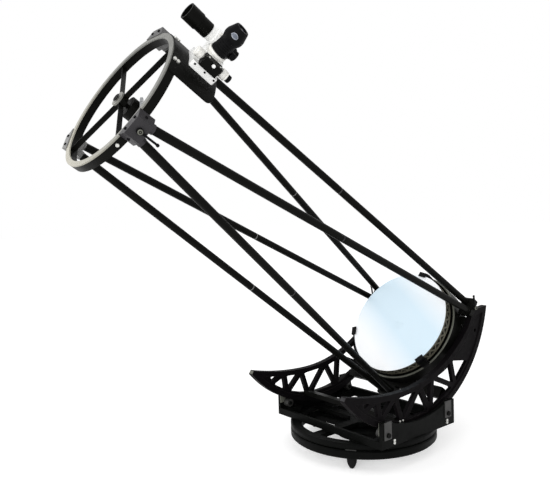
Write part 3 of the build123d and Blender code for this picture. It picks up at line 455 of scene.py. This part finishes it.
def mirror_side(tree, place):
    """Tone of the ground side: painted shade in the cells between the ribs, and gritty."""
    edge = colours().glass_edge
    from_pivot = vector_step(tree, "SUBTRACT", place, altitude_pivot)
    sideways = vector_step(tree, "CROSS_PRODUCT", from_pivot, optical_axis)
    radius = vector_step(tree, "LENGTH", sideways, output="Value")
    cell_depth, rib_depth = 0.0025, 0.0008
    outside = reach("primary_mirror", tube_frame)[1].x
    # Painted shade: the recessed cells between the ribs are painted far darker than the ribs.
    raised = spread(tree, radius, 0.0, 1.0, outside - cell_depth, outside - rib_depth)
    ribs = mixed(tree, raised, [channel * 0.12 for channel in edge], edge)
    grit_share = spread(tree, noise(tree, place, 160.0), 0.0, 0.4)
    return mixed(tree, grit_share, ribs, [channel * 0.4 for channel in edge])


def lens_glass(name):
    """Coated lens: nearly black, with a strong smooth gloss and a faint tint."""
    material, tree, shader = blank_finish(name)
    tint = colours()
    place = object_place(tree)
    tone = mixed(tree, spread(tree, noise(tree, place, 30.0), 0.0, 1.0), tint.lens_blue, tint.lens_violet)
    tree.links.new(tone, shader.inputs["Base Color"])
    tree.links.new(spread(tree, noise(tree, place, 12.0), 0.03, 0.06), shader.inputs["Roughness"])
    shader.inputs["Coat Weight"].default_value = 0.6
    return material


def make_finishes():
    """All finishes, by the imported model's slots and by names of their own for the fittings."""
    tint = colours()
    drawn = (1.0, 0.12, 0.12)
    # Painted light on the ring trim: paler towards its low end along this direction.
    across = Vector((0.55, 0.60, 0.58))
    reaches = [vertex.co.dot(across) for vertex in frame["nodes"]["ring_trim"].data.vertices]
    low, high = min(reaches), max(reaches)
    trim_painted_light_fade = (tint.trim_painted_light, across, low, low + (high - low) * 0.55)
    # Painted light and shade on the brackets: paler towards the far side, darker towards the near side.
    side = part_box("upper_bracket_near")[1].x
    bracket_painted_light_fade = (tint.bracket_painted_light, side_axis, -side, side * 0.7)
    return {
        "black_paint": coated("Black powder coat", tint.black, 0.46, 0.04, grain=950.0, depth=0.00012),
        "cast_black": coated(
            "Crescent casting", tint.casting, 0.50, 0.03, grain=420.0, depth=0.00018,
            edge=tint.casting_edge_highlight, edge_radius=0.003,
        ),
        "grey_paint": coated("Roller plate grey", tint.plate, 0.45, 0.2, edge=tint.plate_edge_highlight),
        "trim_grey": coated("Ring trim grey", tint.trim, 0.42, 0.3, mottle=0.12, painted_light_fade=trim_painted_light_fade),
        "bracket_grey": coated(
            "Bracket grey", tint.bracket, 0.42, 0.2, grain=500.0, depth=0.0001,
            edge=tint.bracket_edge_highlight, painted_light_fade=bracket_painted_light_fade,
        ),
        "tube_black": coated("Black anodised tube", tint.tube, 0.42, 0.05, stretch=drawn, grain=1200.0),
        "aluminium_bright": coated(
            "Bright turned metal", tint.silver, 0.42, 0.4, metallic=0.2, mottle=0.05, grain=900.0
        ),
        "white_paint": coated("White gloss paint", tint.white, 0.34, 0.4, mottle=0.02, grain=500.0, coat=0.1),
        "black_plastic": coated(
            "Black moulded plastic", tint.plastic, 0.50, 0.06, grain=1500.0, depth=0.0001
        ),
        "glass_mirror": mirror_coat("Coated mirror"),
        "flat_coat": coated("Coated flat", tint.flat, 0.30, 0.4, metallic=0.5, mottle=0.04),
        "rubber_foot": coated("Foot rubber", tint.rubber, 0.75, 0.12, grain=300.0, depth=0.0002),
        "slide_pad": coated("Slide pad", tint.pad, 0.40, 0.3, mottle=0.06),
        "roller_steel": coated("Roller steel", tint.roller, 0.42, 0.2, metallic=0.4, stretch=drawn),
        "screw_steel": coated("Screw steel", tint.screw, 0.34, 0.4, metallic=0.6, mottle=0.1),
        "lens": lens_glass("Coated lens"),
        "lip_grey": coated("Tub lip", tint.lip, 0.45, 0.2, mottle=0.2),
        "badge": coated("Bare oval plate", tint.badge, 0.35, 0.4, metallic=0.2, mottle=0.1),
        "badge_rim": coated("Oval plate rim", tint.badge_rim, 0.35, 0.4, metallic=0.2, mottle=0.1),
    }


finishes = {}


# Modelling tools
def start_piece():
    """Object mode with nothing selected, before a new primitive."""
    if bpy.context.mode != "OBJECT":
        bpy.ops.object.mode_set(mode="OBJECT")
    bpy.ops.object.select_all(action="DESELECT")


def pick(*pieces):
    """Selects these pieces alone, with the first one active."""
    start_piece()
    for piece in pieces:
        piece.select_set(True)
    bpy.context.view_layer.objects.active = pieces[0]


def edit_all():
    """Edit mode with all of the piece selected."""
    bpy.ops.object.mode_set(mode="EDIT")
    bpy.ops.mesh.select_mode(type="VERT")
    bpy.ops.mesh.select_all(action="SELECT")


def end_edit():
    """Object mode again, with the piece that was edited."""
    bpy.ops.object.mode_set(mode="OBJECT")
    return bpy.context.object


def draw_through(rings):
    """Takes the selected circle to the first of the rings and draws it on through the others."""
    height, radius = rings[0]
    bpy.ops.transform.translate(value=(0, 0, height))
    for next_height, next_radius in rings[1:]:
        bpy.ops.mesh.extrude_region_move(TRANSFORM_OT_translate={"value": (0, 0, next_height - height)})
        share = next_radius / radius
        bpy.ops.transform.resize(value=(share, share, 1), center_override=(0, 0, next_height))
        height, radius = next_height, next_radius
    bpy.ops.mesh.select_all(action="SELECT")


def turned(rings, sides=0):
    """A turned piece along +Z: a disc is drawn up through rings of (height, radius)."""
    start_piece()
    bpy.ops.mesh.primitive_circle_add(
        vertices=sides or sizes().turned_sides, radius=rings[0][1], fill_type="NGON"
    )
    edit_all()
    draw_through(rings)
    bpy.ops.mesh.normals_make_consistent(inside=False)
    return end_edit()


def hoop(rings, sides=128):
    """A closed ring along +Z: a bare circle is drawn through rings of (height, radius) back to the first."""
    start_piece()
    bpy.ops.mesh.primitive_circle_add(vertices=sides, radius=rings[0][1], fill_type="NOTHING")
    edit_all()
    draw_through([*rings, rings[0]])
    bpy.ops.mesh.remove_doubles(threshold=weld_distance)
    bpy.ops.mesh.normals_make_consistent(inside=False)
    return end_edit()


def block(size, rounding):
    """A block of that size round the origin, with rounded edges."""
    start_piece()
    bpy.ops.mesh.primitive_cube_add(size=1)
    edit_all()
    bpy.ops.transform.resize(value=size, center_override=(0, 0, 0))
    bpy.ops.mesh.bevel(offset=rounding, segments=2, affect="EDGES")
    return end_edit()


def raise_grips(piece, rings, first, depth, width):
    """Raises each side face between one ring of a profile and the next as a grip."""
    low, high = rings[first][0], rings[first + 1][0]
    pick(piece)
    bpy.ops.object.mode_set(mode="EDIT")
    bpy.ops.mesh.select_mode(type="FACE")
    bpy.ops.mesh.select_all(action="DESELECT")
    bpy.ops.object.mode_set(mode="OBJECT")
    for face in piece.data.polygons:
        face.select = abs(face.normal.z) < 0.2 and low < face.center.z < high
    bpy.ops.object.mode_set(mode="EDIT")
    bpy.ops.mesh.inset(thickness=width, depth=depth, use_individual=True)
    bpy.ops.object.mode_set(mode="OBJECT")
    return piece


def moved(piece, matrix):
    """Puts a piece in its place and writes the place into its mesh."""
    piece.matrix_world = matrix
    pick(piece)
    bpy.ops.object.transform_apply(location=True, rotation=True, scale=True)
    return piece


def named(piece, name):
    piece.name = name
    piece.data.name = name
    return piece


def own_copy(piece):
    """A copy of a piece with its own mesh."""
    copy = piece.copy()
    copy.data = piece.data.copy()
    bpy.context.scene.collection.objects.link(copy)
    return copy


def joined(name, pieces):
    pick(*pieces)
    if len(pieces) > 1:
        bpy.ops.object.join()
    return named(bpy.context.object, name)


def dress(piece, body, finish):
    """Finish, smooth shading and the body that carries the piece."""
    pick(piece)
    bpy.ops.object.shade_smooth_by_angle(angle=smooth_angle)
    piece.data.materials.clear()
    piece.data.materials.append(finishes[finish])
    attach(piece, body)
    return piece


def fit(name, piece, place, body, finish):
    """Names a piece, puts it in its place and dresses it."""
    return dress(named(moved(piece, place), name), body, finish)


def set_out(name, piece, places, body, finish):
    """Copies a piece to each place and dresses the copies as one object."""
    copies = [moved(own_copy(piece), place) for place in places]
    bpy.data.objects.remove(piece)
    return dress(joined(name, copies), body, finish)


def cap_screw(radius, height):
    """Socket-head screw from its seat up."""
    sink = 0.001
    rings = [
        (-sink, radius), (height * 0.8, radius), (height, radius * 0.86),
        (height, radius * 0.52), (height * 0.5, radius * 0.48),
    ]
    return turned(rings, sides=18)


def knob(start, length, radius, sides):
    """Turned knob with a gripped band, a groove and a dished end."""
    rings = [(start + length * way, radius * share) for way, share in knob_shares]
    depth = sizes().knurl_depth
    return raise_grips(turned(rings, sides), rings, first=3, depth=depth, width=radius * 0.022)


def lever_cap(lever, place):
    """Ring-shaped cap on a lever's pivot, with the dark socket of its bolt."""
    fit(f"{lever}_cap", turned(profiles["lever_cap"], sides=28), place, lever, "lip_grey")
    fit(f"{lever}_bolt", turned(profiles["lever_bolt"], sides=18), place, lever, "black_plastic")


# Operators, one for each group of pieces
class TELESCOPE_OT_finishes(bpy.types.Operator):
    """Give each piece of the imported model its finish"""

    bl_idname = "telescope.finishes"
    bl_label = "Finishes"

    def execute(self, context):
        finishes.update(make_finishes())
        for name, node in frame["nodes"].items():
            node.data.materials.clear()
            node.data.materials.append(finishes[slots[name]])
        return {"FINISHED"}


class TELESCOPE_OT_truss_tubes(bpy.types.Operator):
    """Draw the truss tubes at their photographed width, with a seam at each joint ring"""

    bl_idname = "telescope.truss_tubes"
    bl_label = "Truss tubes"

    def execute(self, context):
        for half in ("lower", "upper"):
            node = f"truss_tubes_{half}"
            tubes = [self.tube(*ends, half) for ends in self.tube_ends(node)]
            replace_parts(dress(joined(f"truss_tube_set_{half}", tubes), "tube", "tube_black"), node)
        return {"FINISHED"}

    def tube_ends(self, node):
        """Lower and upper end of each tube of a node, from a merged copy of its mesh."""
        pick(own_copy(frame["nodes"][node]))
        edit_all()
        bpy.ops.mesh.remove_doubles(threshold=weld_distance)
        bpy.ops.mesh.separate(type="LOOSE")
        end_edit()
        ends = []
        for single in list(bpy.context.selected_objects):
            points = sorted((vertex.co for vertex in single.data.vertices), key=optical_axis.dot)
            half = len(points) // 2
            ends.append((sum(points[:half], Vector()) / half, sum(points[-half:], Vector()) / half))
        for single in list(bpy.context.selected_objects):
            bpy.data.objects.remove(single)
        return ends

    def tube(self, low, high, half):
        """One tube between two ends, cut back by the seam at its joint ring."""
        size = sizes()
        axis = (high - low).normalized()
        seam = axis * size.tube_seam
        low, high = (low, high - seam) if half == "lower" else (low + seam, high)
        length = (high - low).length
        edge, radius, bore = size.tube_edge, size.tube_radius, size.tube_radius - size.tube_wall
        rings = [
            (0.0, bore), (0.0, radius - edge), (edge, radius),
            (length - edge, radius), (length, radius - edge), (length, bore),
        ]
        turn_to = axis.to_track_quat("Z", "Y").to_matrix().to_4x4()
        return moved(hoop(rings, sides=40), Matrix.Translation(low) @ turn_to)


class TELESCOPE_OT_focus_knobs(bpy.types.Operator):
    """Turn the coarse and the fine focus knobs on their shaft"""

    bl_idname = "telescope.focus_knobs"
    bl_label = "Focus knobs"

    def execute(self, context):
        size = sizes()
        shaft_frame = Matrix.Translation(joints["pinion_turn"]["pos_m"]) @ tube_turn
        away = knob(size.coarse_start, size.coarse_length, size.coarse_radius, sides=44)
        toward = knob(size.coarse_start, size.coarse_length, size.coarse_radius, sides=44)
        moved(toward, turn(180, "X"))
        lap = size.shaft_lap
        end = size.coarse_start + lap
        radius, end_radius = size.shaft_radius, size.shaft_radius * 0.84
        shaft = turned([(-end, end_radius), (lap - end, radius), (end - lap, radius), (end, end_radius)])
        coarse = joined("focus_knob_pair", [away, toward, shaft])
        moved(coarse, shaft_frame)
        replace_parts(dress(coarse, "pinion", "aluminium_bright"), "pinion_knobs")
        fine = knob(size.fine_start, size.fine_length, size.fine_radius, sides=36)
        stub_rings = [(size.stub_start, size.stub_radius), (size.fine_start + lap, size.stub_radius)]
        fine = joined("fine_focus_knob", [fine, turned(stub_rings, sides=16)])
        moved(fine, shaft_frame @ turn(180, "X"))
        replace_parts(dress(fine, "fine_knob", "black_plastic"), "fine_knob")
        return {"FINISHED"}


class TELESCOPE_OT_eyepiece(bpy.types.Operator):
    """Turn the eyepiece with its grip, lens, barrel, clamp screw and bare oval plate in its rim"""

    bl_idname = "telescope.eyepiece"
    bl_label = "Eyepiece"

    def execute(self, context):
        size = sizes()
        seat = outward(focuser_angle, drawtube_top, 0, focuser_axial)
        rings = list(profiles["eyepiece_foot"])
        for groove in range(4):
            start = size.groove_start + groove * size.groove_pitch
            rings += [(start + height, radius) for height, radius in profiles["eyepiece_groove"]]
        rings += profiles["eyepiece_head"]
        body = raise_grips(turned(rings, sides=64), rings, first=2, depth=0.0005, width=0.0005)
        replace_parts(fit("eyepiece_body", body, seat, "eyepiece", "black_plastic"), "eyepiece")
        fit("eye_lens", turned(profiles["eye_lens"]), seat, "eyepiece", "lens")
        fit("eyepiece_barrel", turned(profiles["eyepiece_barrel"]), seat, "eyepiece", "aluminium_bright")
        rings = profiles["eyepiece_clamp_screw"]
        grip = raise_grips(turned(rings, sides=24), rings, first=4, depth=0.0005, width=0.0004)
        place = seat @ lift(size.clamp_height) @ turn(90, "Y")
        fit("eyepiece_clamp_screw", grip, place, "eyepiece", "black_plastic")
        rim = self.oval_plate("oval_plate_rim", seat, body, half_size=(0.0182, 0.0106), rise=0.0002)
        dress(rim, "eyepiece", "badge_rim")
        plate = self.oval_plate("oval_plate", seat, body, half_size=(0.0152, 0.0080), rise=0.0006)
        dress(plate, "eyepiece", "badge")
        return {"FINISHED"}

    def oval_plate(self, name, seat, body, half_size, rise):
        """A bare oval plate that follows the curve of the head."""
        size = sizes()
        plate_angle, start_distance = 159, 0.045
        start_piece()
        bpy.ops.mesh.primitive_circle_add(vertices=40, radius=1, fill_type="TRIFAN")
        edit_all()
        bpy.ops.mesh.subdivide(number_cuts=5)
        bpy.ops.transform.resize(value=(*half_size, 1), center_override=(0, 0, 0))
        plate = named(end_edit(), name)
        front = seat @ lift(size.plate_height) @ turn(plate_angle, "Z") @ turn(-90, "X")
        moved(plate, front @ lift(start_distance))
        wrap = plate.modifiers.new("Follow", "SHRINKWRAP")
        wrap.target = body
        wrap.offset = rise
        skin = plate.modifiers.new("Thickness", "SOLIDIFY")
        skin.thickness = size.plate_thickness
        skin.offset = 0.0
        pick(plate)
        bpy.ops.object.modifier_apply(modifier="Follow")
        bpy.ops.object.modifier_apply(modifier="Thickness")
        return plate


class TELESCOPE_OT_focuser_fittings(bpy.types.Operator):
    """Set the screws and the tension knob on the focuser"""

    bl_idname = "telescope.focuser_fittings"
    bl_label = "Focuser fittings"

    def execute(self, context):
        size = sizes()
        drop, front_inset, middle_shift, rear_inset = 0.007, 0.012, 0.002, 0.010
        low, high = reach("focuser_base", station(focuser_angle))
        places = []
        for axial in (high.z - front_inset, (low.z + high.z) / 2 - middle_shift, low.z + rear_inset):
            places.append(station(focuser_angle, high.x - drop, low.y, axial) @ turn(90, "X"))
            places.append(station(focuser_angle, high.x - drop, high.y, axial) @ turn(-90, "X"))
        screw = cap_screw(size.screw_radius, height=0.002)
        set_out("focuser_base_screws", screw, places, "tube", "black_plastic")
        low, high = reach("pinion_block", station(focuser_angle))
        place = station(focuser_angle, high.x - drop, low.y, focuser_axial) @ turn(90, "X")
        fit("tension_knob", turned(profiles["tension_knob"], sides=24), place, "tube", "white_paint")
        screw_side, screw_steps = low.y + 0.010, (-0.024, 0.024)
        places = [outward(focuser_angle, high.x, screw_side, focuser_axial + step) for step in screw_steps]
        screw = cap_screw(size.screw_radius, height=0.0025)
        set_out("pinion_block_screws", screw, places, "tube", "screw_steel")
        return {"FINISHED"}


class TELESCOPE_OT_finder_fittings(bpy.types.Operator):
    """Set the lens, the rear lens, the rear collar and the aiming screws of the finder"""

    bl_idname = "telescope.finder_fittings"
    bl_label = "Finder fittings"

    def execute(self, context):
        lens_depth, rear_lens_depth = 0.0465, 0.0045
        finder = station(finder_angle, finder_radius)
        place = finder @ lift(reach("finder_hood", finder)[1].z - lens_depth)
        fit("finder_lens", turned(profiles["finder_lens"]), place, "tube", "lens")
        place = finder @ lift(reach("finder_eyepiece", finder)[0].z + rear_lens_depth) @ turn(180, "X")
        fit("finder_rear_lens", turned(profiles["finder_rear_lens"]), place, "tube", "lens")
        tube_back = reach("finder_tube", finder)[0].z
        collar = hoop(profiles["finder_rear_collar"], sides=48)
        fit("finder_rear_collar", collar, finder @ lift(tube_back), "tube", "black_plastic")
        rings = profiles["finder_aiming_screw"]
        screw = raise_grips(turned(rings, sides=20), rings, first=3, depth=0.0004, width=0.0003)
        screw_reach, screw_steps = 0.0315, (0.032, 0.078)
        places = []
        for step in screw_steps:
            seat = Matrix.Translation((screw_reach, 0, tube_back + step)) @ turn(90, "Y")
            places += [finder @ turn(spin, "Z") @ seat for spin in (60, -60)]
        set_out("finder_aiming_screws", screw, places, "tube", "aluminium_bright")
        return {"FINISHED"}


class TELESCOPE_OT_ring_fittings(bpy.types.Operator):
    """Set the lever caps and bracket screws on the upper ring, and the centre bolt and oval flat in it"""

    bl_idname = "telescope.ring_fittings"
    bl_label = "Upper ring fittings"

    def execute(self, context):
        size = sizes()
        cap_rise, screw_drop, front_step, side_step, side_rise = 0.0099, 0.017, 0.022, 0.042, 0.004
        places = []
        for bracket, angle in bracket_angles.items():
            lever = f"upper_lever_{bracket}"
            pivot = station(angle).inverted() @ Vector(joints[f"{lever}_swing"]["pos_m"])
            lever_cap(lever, outward(angle, pivot.x + cap_rise, 0, pivot.z))
            front = reach(f"upper_bracket_{bracket}", station(angle))[1].z
            radius, beside = pivot.x - screw_drop, pivot.z + side_rise
            for side in (-1, 1):
                places.append(station(angle, radius, side * front_step, front))
                places.append(station(angle, radius, side * side_step, beside) @ turn(-side * 90, "X"))
        screw = cap_screw(size.bolt_radius * 0.8, height=0.004)
        set_out("bracket_screws", screw, places, "tube", "black_plastic")
        cap_corner = reach("spider_cap", tube_frame)[1]
        bolt = turned([(height, cap_corner.x * share) for height, share in centre_bolt_shares])
        fit("spider_centre_bolt", bolt, tube_frame @ lift(cap_corner.z), "tube", "black_plastic")
        self.flat_mirror()
        return {"FINISHED"}

    def flat_mirror(self):
        """The oval flat at 45 degrees, from its back on the holder to its coated face."""
        size = sizes()
        low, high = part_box("secondary_mirror")
        toward_eye = station(focuser_angle).to_3x3() @ side_axis
        normal = (toward_eye - optical_axis).normalized()
        length = (toward_eye + optical_axis).normalized()
        flat_frame = Matrix((normal.cross(length), length, normal)).transposed().to_4x4()
        half, radius, edge = size.flat_thickness / 2, size.flat_radius, size.flat_edge
        rings = [(-half, radius - edge), (edge - half, radius), (half - edge, radius), (half, radius - edge)]
        stretch = Matrix.Diagonal((1, math.sqrt(2), 1, 1))
        place = Matrix.Translation((low + high) / 2) @ flat_frame @ stretch
        flat = fit("oval_flat", turned(rings, sides=72), place, "tube", "flat_coat")
        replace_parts(flat, "secondary_mirror")


class TELESCOPE_OT_mirror_fittings(bpy.types.Operator):
    """Set the clip brackets and their screws round the mirror, and the rolled lip on its tub"""

    bl_idname = "telescope.mirror_fittings"
    bl_label = "Mirror fittings"

    def execute(self, context):
        size = sizes()
        bar_size, bar_rounding = (0.006, 0.030, 0.046), 0.0012
        bar_sink, bar_rise, screw_steps = 0.0005, 0.017, (-0.008, 0.008)
        mouth = reach("mirror_tub", tube_frame)[1]
        axial = mouth.z + bar_rise
        radius = mouth.x - bar_sink + bar_size[0] / 2
        places = [station(angle, radius, 0, axial) for angle in clip_angles]
        set_out("clip_brackets", block(bar_size, bar_rounding), places, "tube", "black_paint")
        radius += bar_size[0] / 2
        places = [outward(angle, radius, step, axial) for angle in clip_angles for step in screw_steps]
        screw = cap_screw(size.screw_radius, height=0.003)
        set_out("clip_screws", screw, places, "tube", "black_plastic")
        lip = hoop([(height, mouth.x + step_out) for height, step_out in tub_lip_steps])
        fit("tub_lip", lip, tube_frame @ lift(mouth.z), "tube", "lip_grey")
        return {"FINISHED"}


class TELESCOPE_OT_clamp_fittings(bpy.types.Operator):
    """Set the lever caps on the lower clamps, the front tie's bolts and the crescents' tip caps"""

    bl_idname = "telescope.clamp_fittings"
    bl_label = "Lower clamp fittings"

    def execute(self, context):
        size = sizes()
        cap_rise, bolt_sink, bolt_steps = 0.0093, 0.005, (-0.009, 0.009)
        for clamp in ("right", "back"):
            pivot = Vector(joints[f"lower_lever_{clamp}_swing"]["pos_m"])
            side = 1 if pivot.x > 0 else -1
            lever_cap(f"lower_lever_{clamp}", along_x(pivot.x + side * cap_rise, pivot.y, pivot.z))
        low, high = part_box("front_tie")
        tie = (low + high) / 2
        bolt_x = reach("crescent_near", Matrix())[1].x - bolt_sink
        places = [along_x(side * bolt_x, tie.y + step, tie.z) for side in (-1, 1) for step in bolt_steps]
        bolt = cap_screw(size.bolt_radius * 0.7, height=0.003)
        set_out("tie_bolts", bolt, places, "tube", "screw_steel")
        self.tip_caps()
        return {"FINISHED"}

    def tip_caps(self):
        """Small blocks that close the blunt front tips of the crescents."""
        size = sizes()
        side_margin, rounding = 0.003, 0.0008
        for side, finish, slot in (("near", "bracket_grey", None), ("far", "lip_grey", "trim_grey")):
            low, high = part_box(f"crescent_{side}")
            points = [vertex.co for vertex in frame["nodes"][f"crescent_{side}"].data.vertices]
            tip = [point for point in points if point.y < low.y + size.tip_face]
            top = max(tip, key=lambda point: point.z)
            bottom = min(tip, key=lambda point: point.y)
            across = Vector((0, top.y - bottom.y, top.z - bottom.z)).normalized()
            out = Vector((0, -across.z, across.y))
            turn_to = Matrix((side_axis, across, out)).transposed().to_4x4()
            seat = Vector(((low.x + high.x) / 2, (top.y + bottom.y) / 2, (top.z + bottom.z) / 2))
            width = high.x - low.x - 2 * side_margin
            cap = block((width, size.tip_width, size.tip_thickness), rounding)
            fit(f"tip_cap_{side}", cap, Matrix.Translation(seat) @ turn_to, "tube", finish)


class TELESCOPE_OT_rocker_fittings(bpy.types.Operator):
    """Set the bolts of the corner blocks and the plates inside the side panels"""

    bl_idname = "telescope.rocker_fittings"
    bl_label = "Rocker fittings"

    def execute(self, context):
        size = sizes()
        side_inset, end_inset, second_inset = 0.0215, 0.018, 0.062
        low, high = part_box("corner_blocks")
        places = []
        for x in (low.x + side_inset, high.x - side_inset):
            for y in (low.y + end_inset, low.y + second_inset, high.y - second_inset, high.y - end_inset):
                places.append(Matrix.Translation((x, y, high.z)))
        bolt = cap_screw(size.bolt_radius, height=0.005)
        set_out("corner_bolts", bolt, places, "rocker", "black_plastic")
        plate_size, plate_rounding, plate_drop, plate_inset = (0.003, 0.030, 0.052), 0.0008, 0.027, 0.001
        low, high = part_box("roller_plates")
        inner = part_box("side_panel_near")[0].x - plate_size[0] / 2
        places = []
        for x in (-inner, inner):
            for y in (low.y + plate_inset, high.y - plate_inset):
                places.append(Matrix.Translation((x, y, high.z - plate_drop)))
        plate = block(plate_size, plate_rounding)
        set_out("inner_roller_plates", plate, places, "rocker", "lip_grey")
        return {"FINISHED"}


class TELESCOPE_OT_stage(bpy.types.Operator):
    """Set up the floor, the lights, the background and the camera"""

    bl_idname = "telescope.stage"
    bl_label = "Stage"

    def execute(self, context):
        self.floor()
        self.world()
        for lamp in lamps:
            self.lamp(*lamp)
        self.camera()
        bpy.context.scene.view_settings.view_transform = "Standard"
        return {"FINISHED"}

    def floor(self):
        """Pale floor that keeps the object's shadow and shows nearly white."""
        floor_width, floor_tone, glow_tone = 60, (0.80, 0.80, 0.80, 1), (0.45, 0.45, 0.45, 1)
        start_piece()
        bpy.ops.mesh.primitive_plane_add(size=floor_width)
        floor = bpy.context.object
        floor.name = "floor"
        material, tree, shader = blank_finish("Pale floor")
        shader.inputs["Base Color"].default_value = floor_tone
        shader.inputs["Roughness"].default_value = 0.9
        shader.inputs["Specular IOR Level"].default_value = 0.0
        glow = add_node(tree, "ShaderNodeEmission")
        tree.links.new(self.seen(tree), glow.inputs["Strength"])
        glow.inputs["Color"].default_value = glow_tone
        both = add_node(tree, "ShaderNodeAddShader")
        tree.links.new(shader.outputs["BSDF"], both.inputs[0])
        tree.links.new(glow.outputs["Emission"], both.inputs[1])
        tree.links.new(both.outputs["Shader"], tree.nodes["Material Output"].inputs["Surface"])
        floor.data.materials.append(material)

    def seen(self, tree):
        """1 for rays that show the background: straight ones and those off metal or through glass."""
        path = add_node(tree, "ShaderNodeLightPath")
        share = path.outputs["Is Camera Ray"]
        for ray in ("Is Glossy Ray", "Is Transmission Ray"):
            either = add_node(tree, "ShaderNodeMath", operation="MAXIMUM")
            tree.links.new(share, either.inputs[0])
            tree.links.new(path.outputs[ray], either.inputs[1])
            share = either.outputs["Value"]
        return share

    def world(self):
        """Even white light, a little weaker on the object than it shows."""
        world = bpy.data.worlds.new("Studio")
        bpy.context.scene.world = world
        world.use_nodes = True
        tree = world.node_tree
        background = tree.nodes["Background"]
        tree.links.new(spread(tree, self.seen(tree), 0.84, 1.0, 0.0, 1.0), background.inputs["Strength"])
        background.inputs["Color"].default_value = (1, 1, 1, 1)

    def lamp(self, name, place, width, power):
        """A soft square lamp that looks at the middle of the object."""
        lamp = bpy.data.lights.new(name, "AREA")
        lamp.size = width
        lamp.energy = power
        lamp_object = bpy.data.objects.new(name, lamp)
        bpy.context.scene.collection.objects.link(lamp_object)
        lamp_object.location = place
        lamp_object.rotation_mode = "QUATERNION"
        lamp_object.rotation_quaternion = (lamp_aim - Vector(place)).to_track_quat("-Z", "Y")

    def camera(self):
        """The photograph's place, turn and lens."""
        camera = bpy.data.cameras.new("camera")
        camera.sensor_width = sensor_width
        camera.lens = camera_focal * sensor_width / photo_width
        camera.shift_x, camera.shift_y = camera_shift
        camera_object = bpy.data.objects.new("camera", camera)
        bpy.context.scene.collection.objects.link(camera_object)
        turn_to = turn(camera_azimuth, "Z") @ turn(90 - camera_elevation, "X") @ turn(camera_roll, "Z")
        camera_object.matrix_world = Matrix.Translation(camera_place) @ turn_to
        bpy.context.scene.camera = camera_object


steps = (
    TELESCOPE_OT_finishes,
    TELESCOPE_OT_truss_tubes,
    TELESCOPE_OT_focus_knobs,
    TELESCOPE_OT_eyepiece,
    TELESCOPE_OT_focuser_fittings,
    TELESCOPE_OT_finder_fittings,
    TELESCOPE_OT_ring_fittings,
    TELESCOPE_OT_mirror_fittings,
    TELESCOPE_OT_clamp_fittings,
    TELESCOPE_OT_rocker_fittings,
    TELESCOPE_OT_stage,
)


class TELESCOPE_PT_dressing(bpy.types.Panel):
    """Steps that dress the telescope"""

    bl_idname = "TELESCOPE_PT_dressing"
    bl_label = "Telescope"
    bl_space_type = "VIEW_3D"
    bl_region_type = "UI"
    bl_category = "Telescope"

    def draw(self, context):
        for step in steps:
            self.layout.operator(step.bl_idname)
        for group in (context.scene.telescope_colours, context.scene.telescope_sizes):
            for name in group.bl_rna.properties.keys():
                if name not in ("rna_type", "name"):
                    self.layout.prop(group, name)


classes = (TelescopeColours, TelescopeSizes, *steps, TELESCOPE_PT_dressing)


def register():
    for item in classes:
        bpy.utils.register_class(item)
    bpy.types.Scene.telescope_colours = PointerProperty(type=TelescopeColours)
    bpy.types.Scene.telescope_sizes = PointerProperty(type=TelescopeSizes)


def unregister():
    del bpy.types.Scene.telescope_sizes
    del bpy.types.Scene.telescope_colours
    for item in reversed(classes):
        bpy.utils.unregister_class(item)


def main():
    register()
    for step in steps:
        group, name = step.bl_idname.split(".")
        getattr(getattr(bpy.ops, group), name)()


if __name__ == "__main__":
    main()
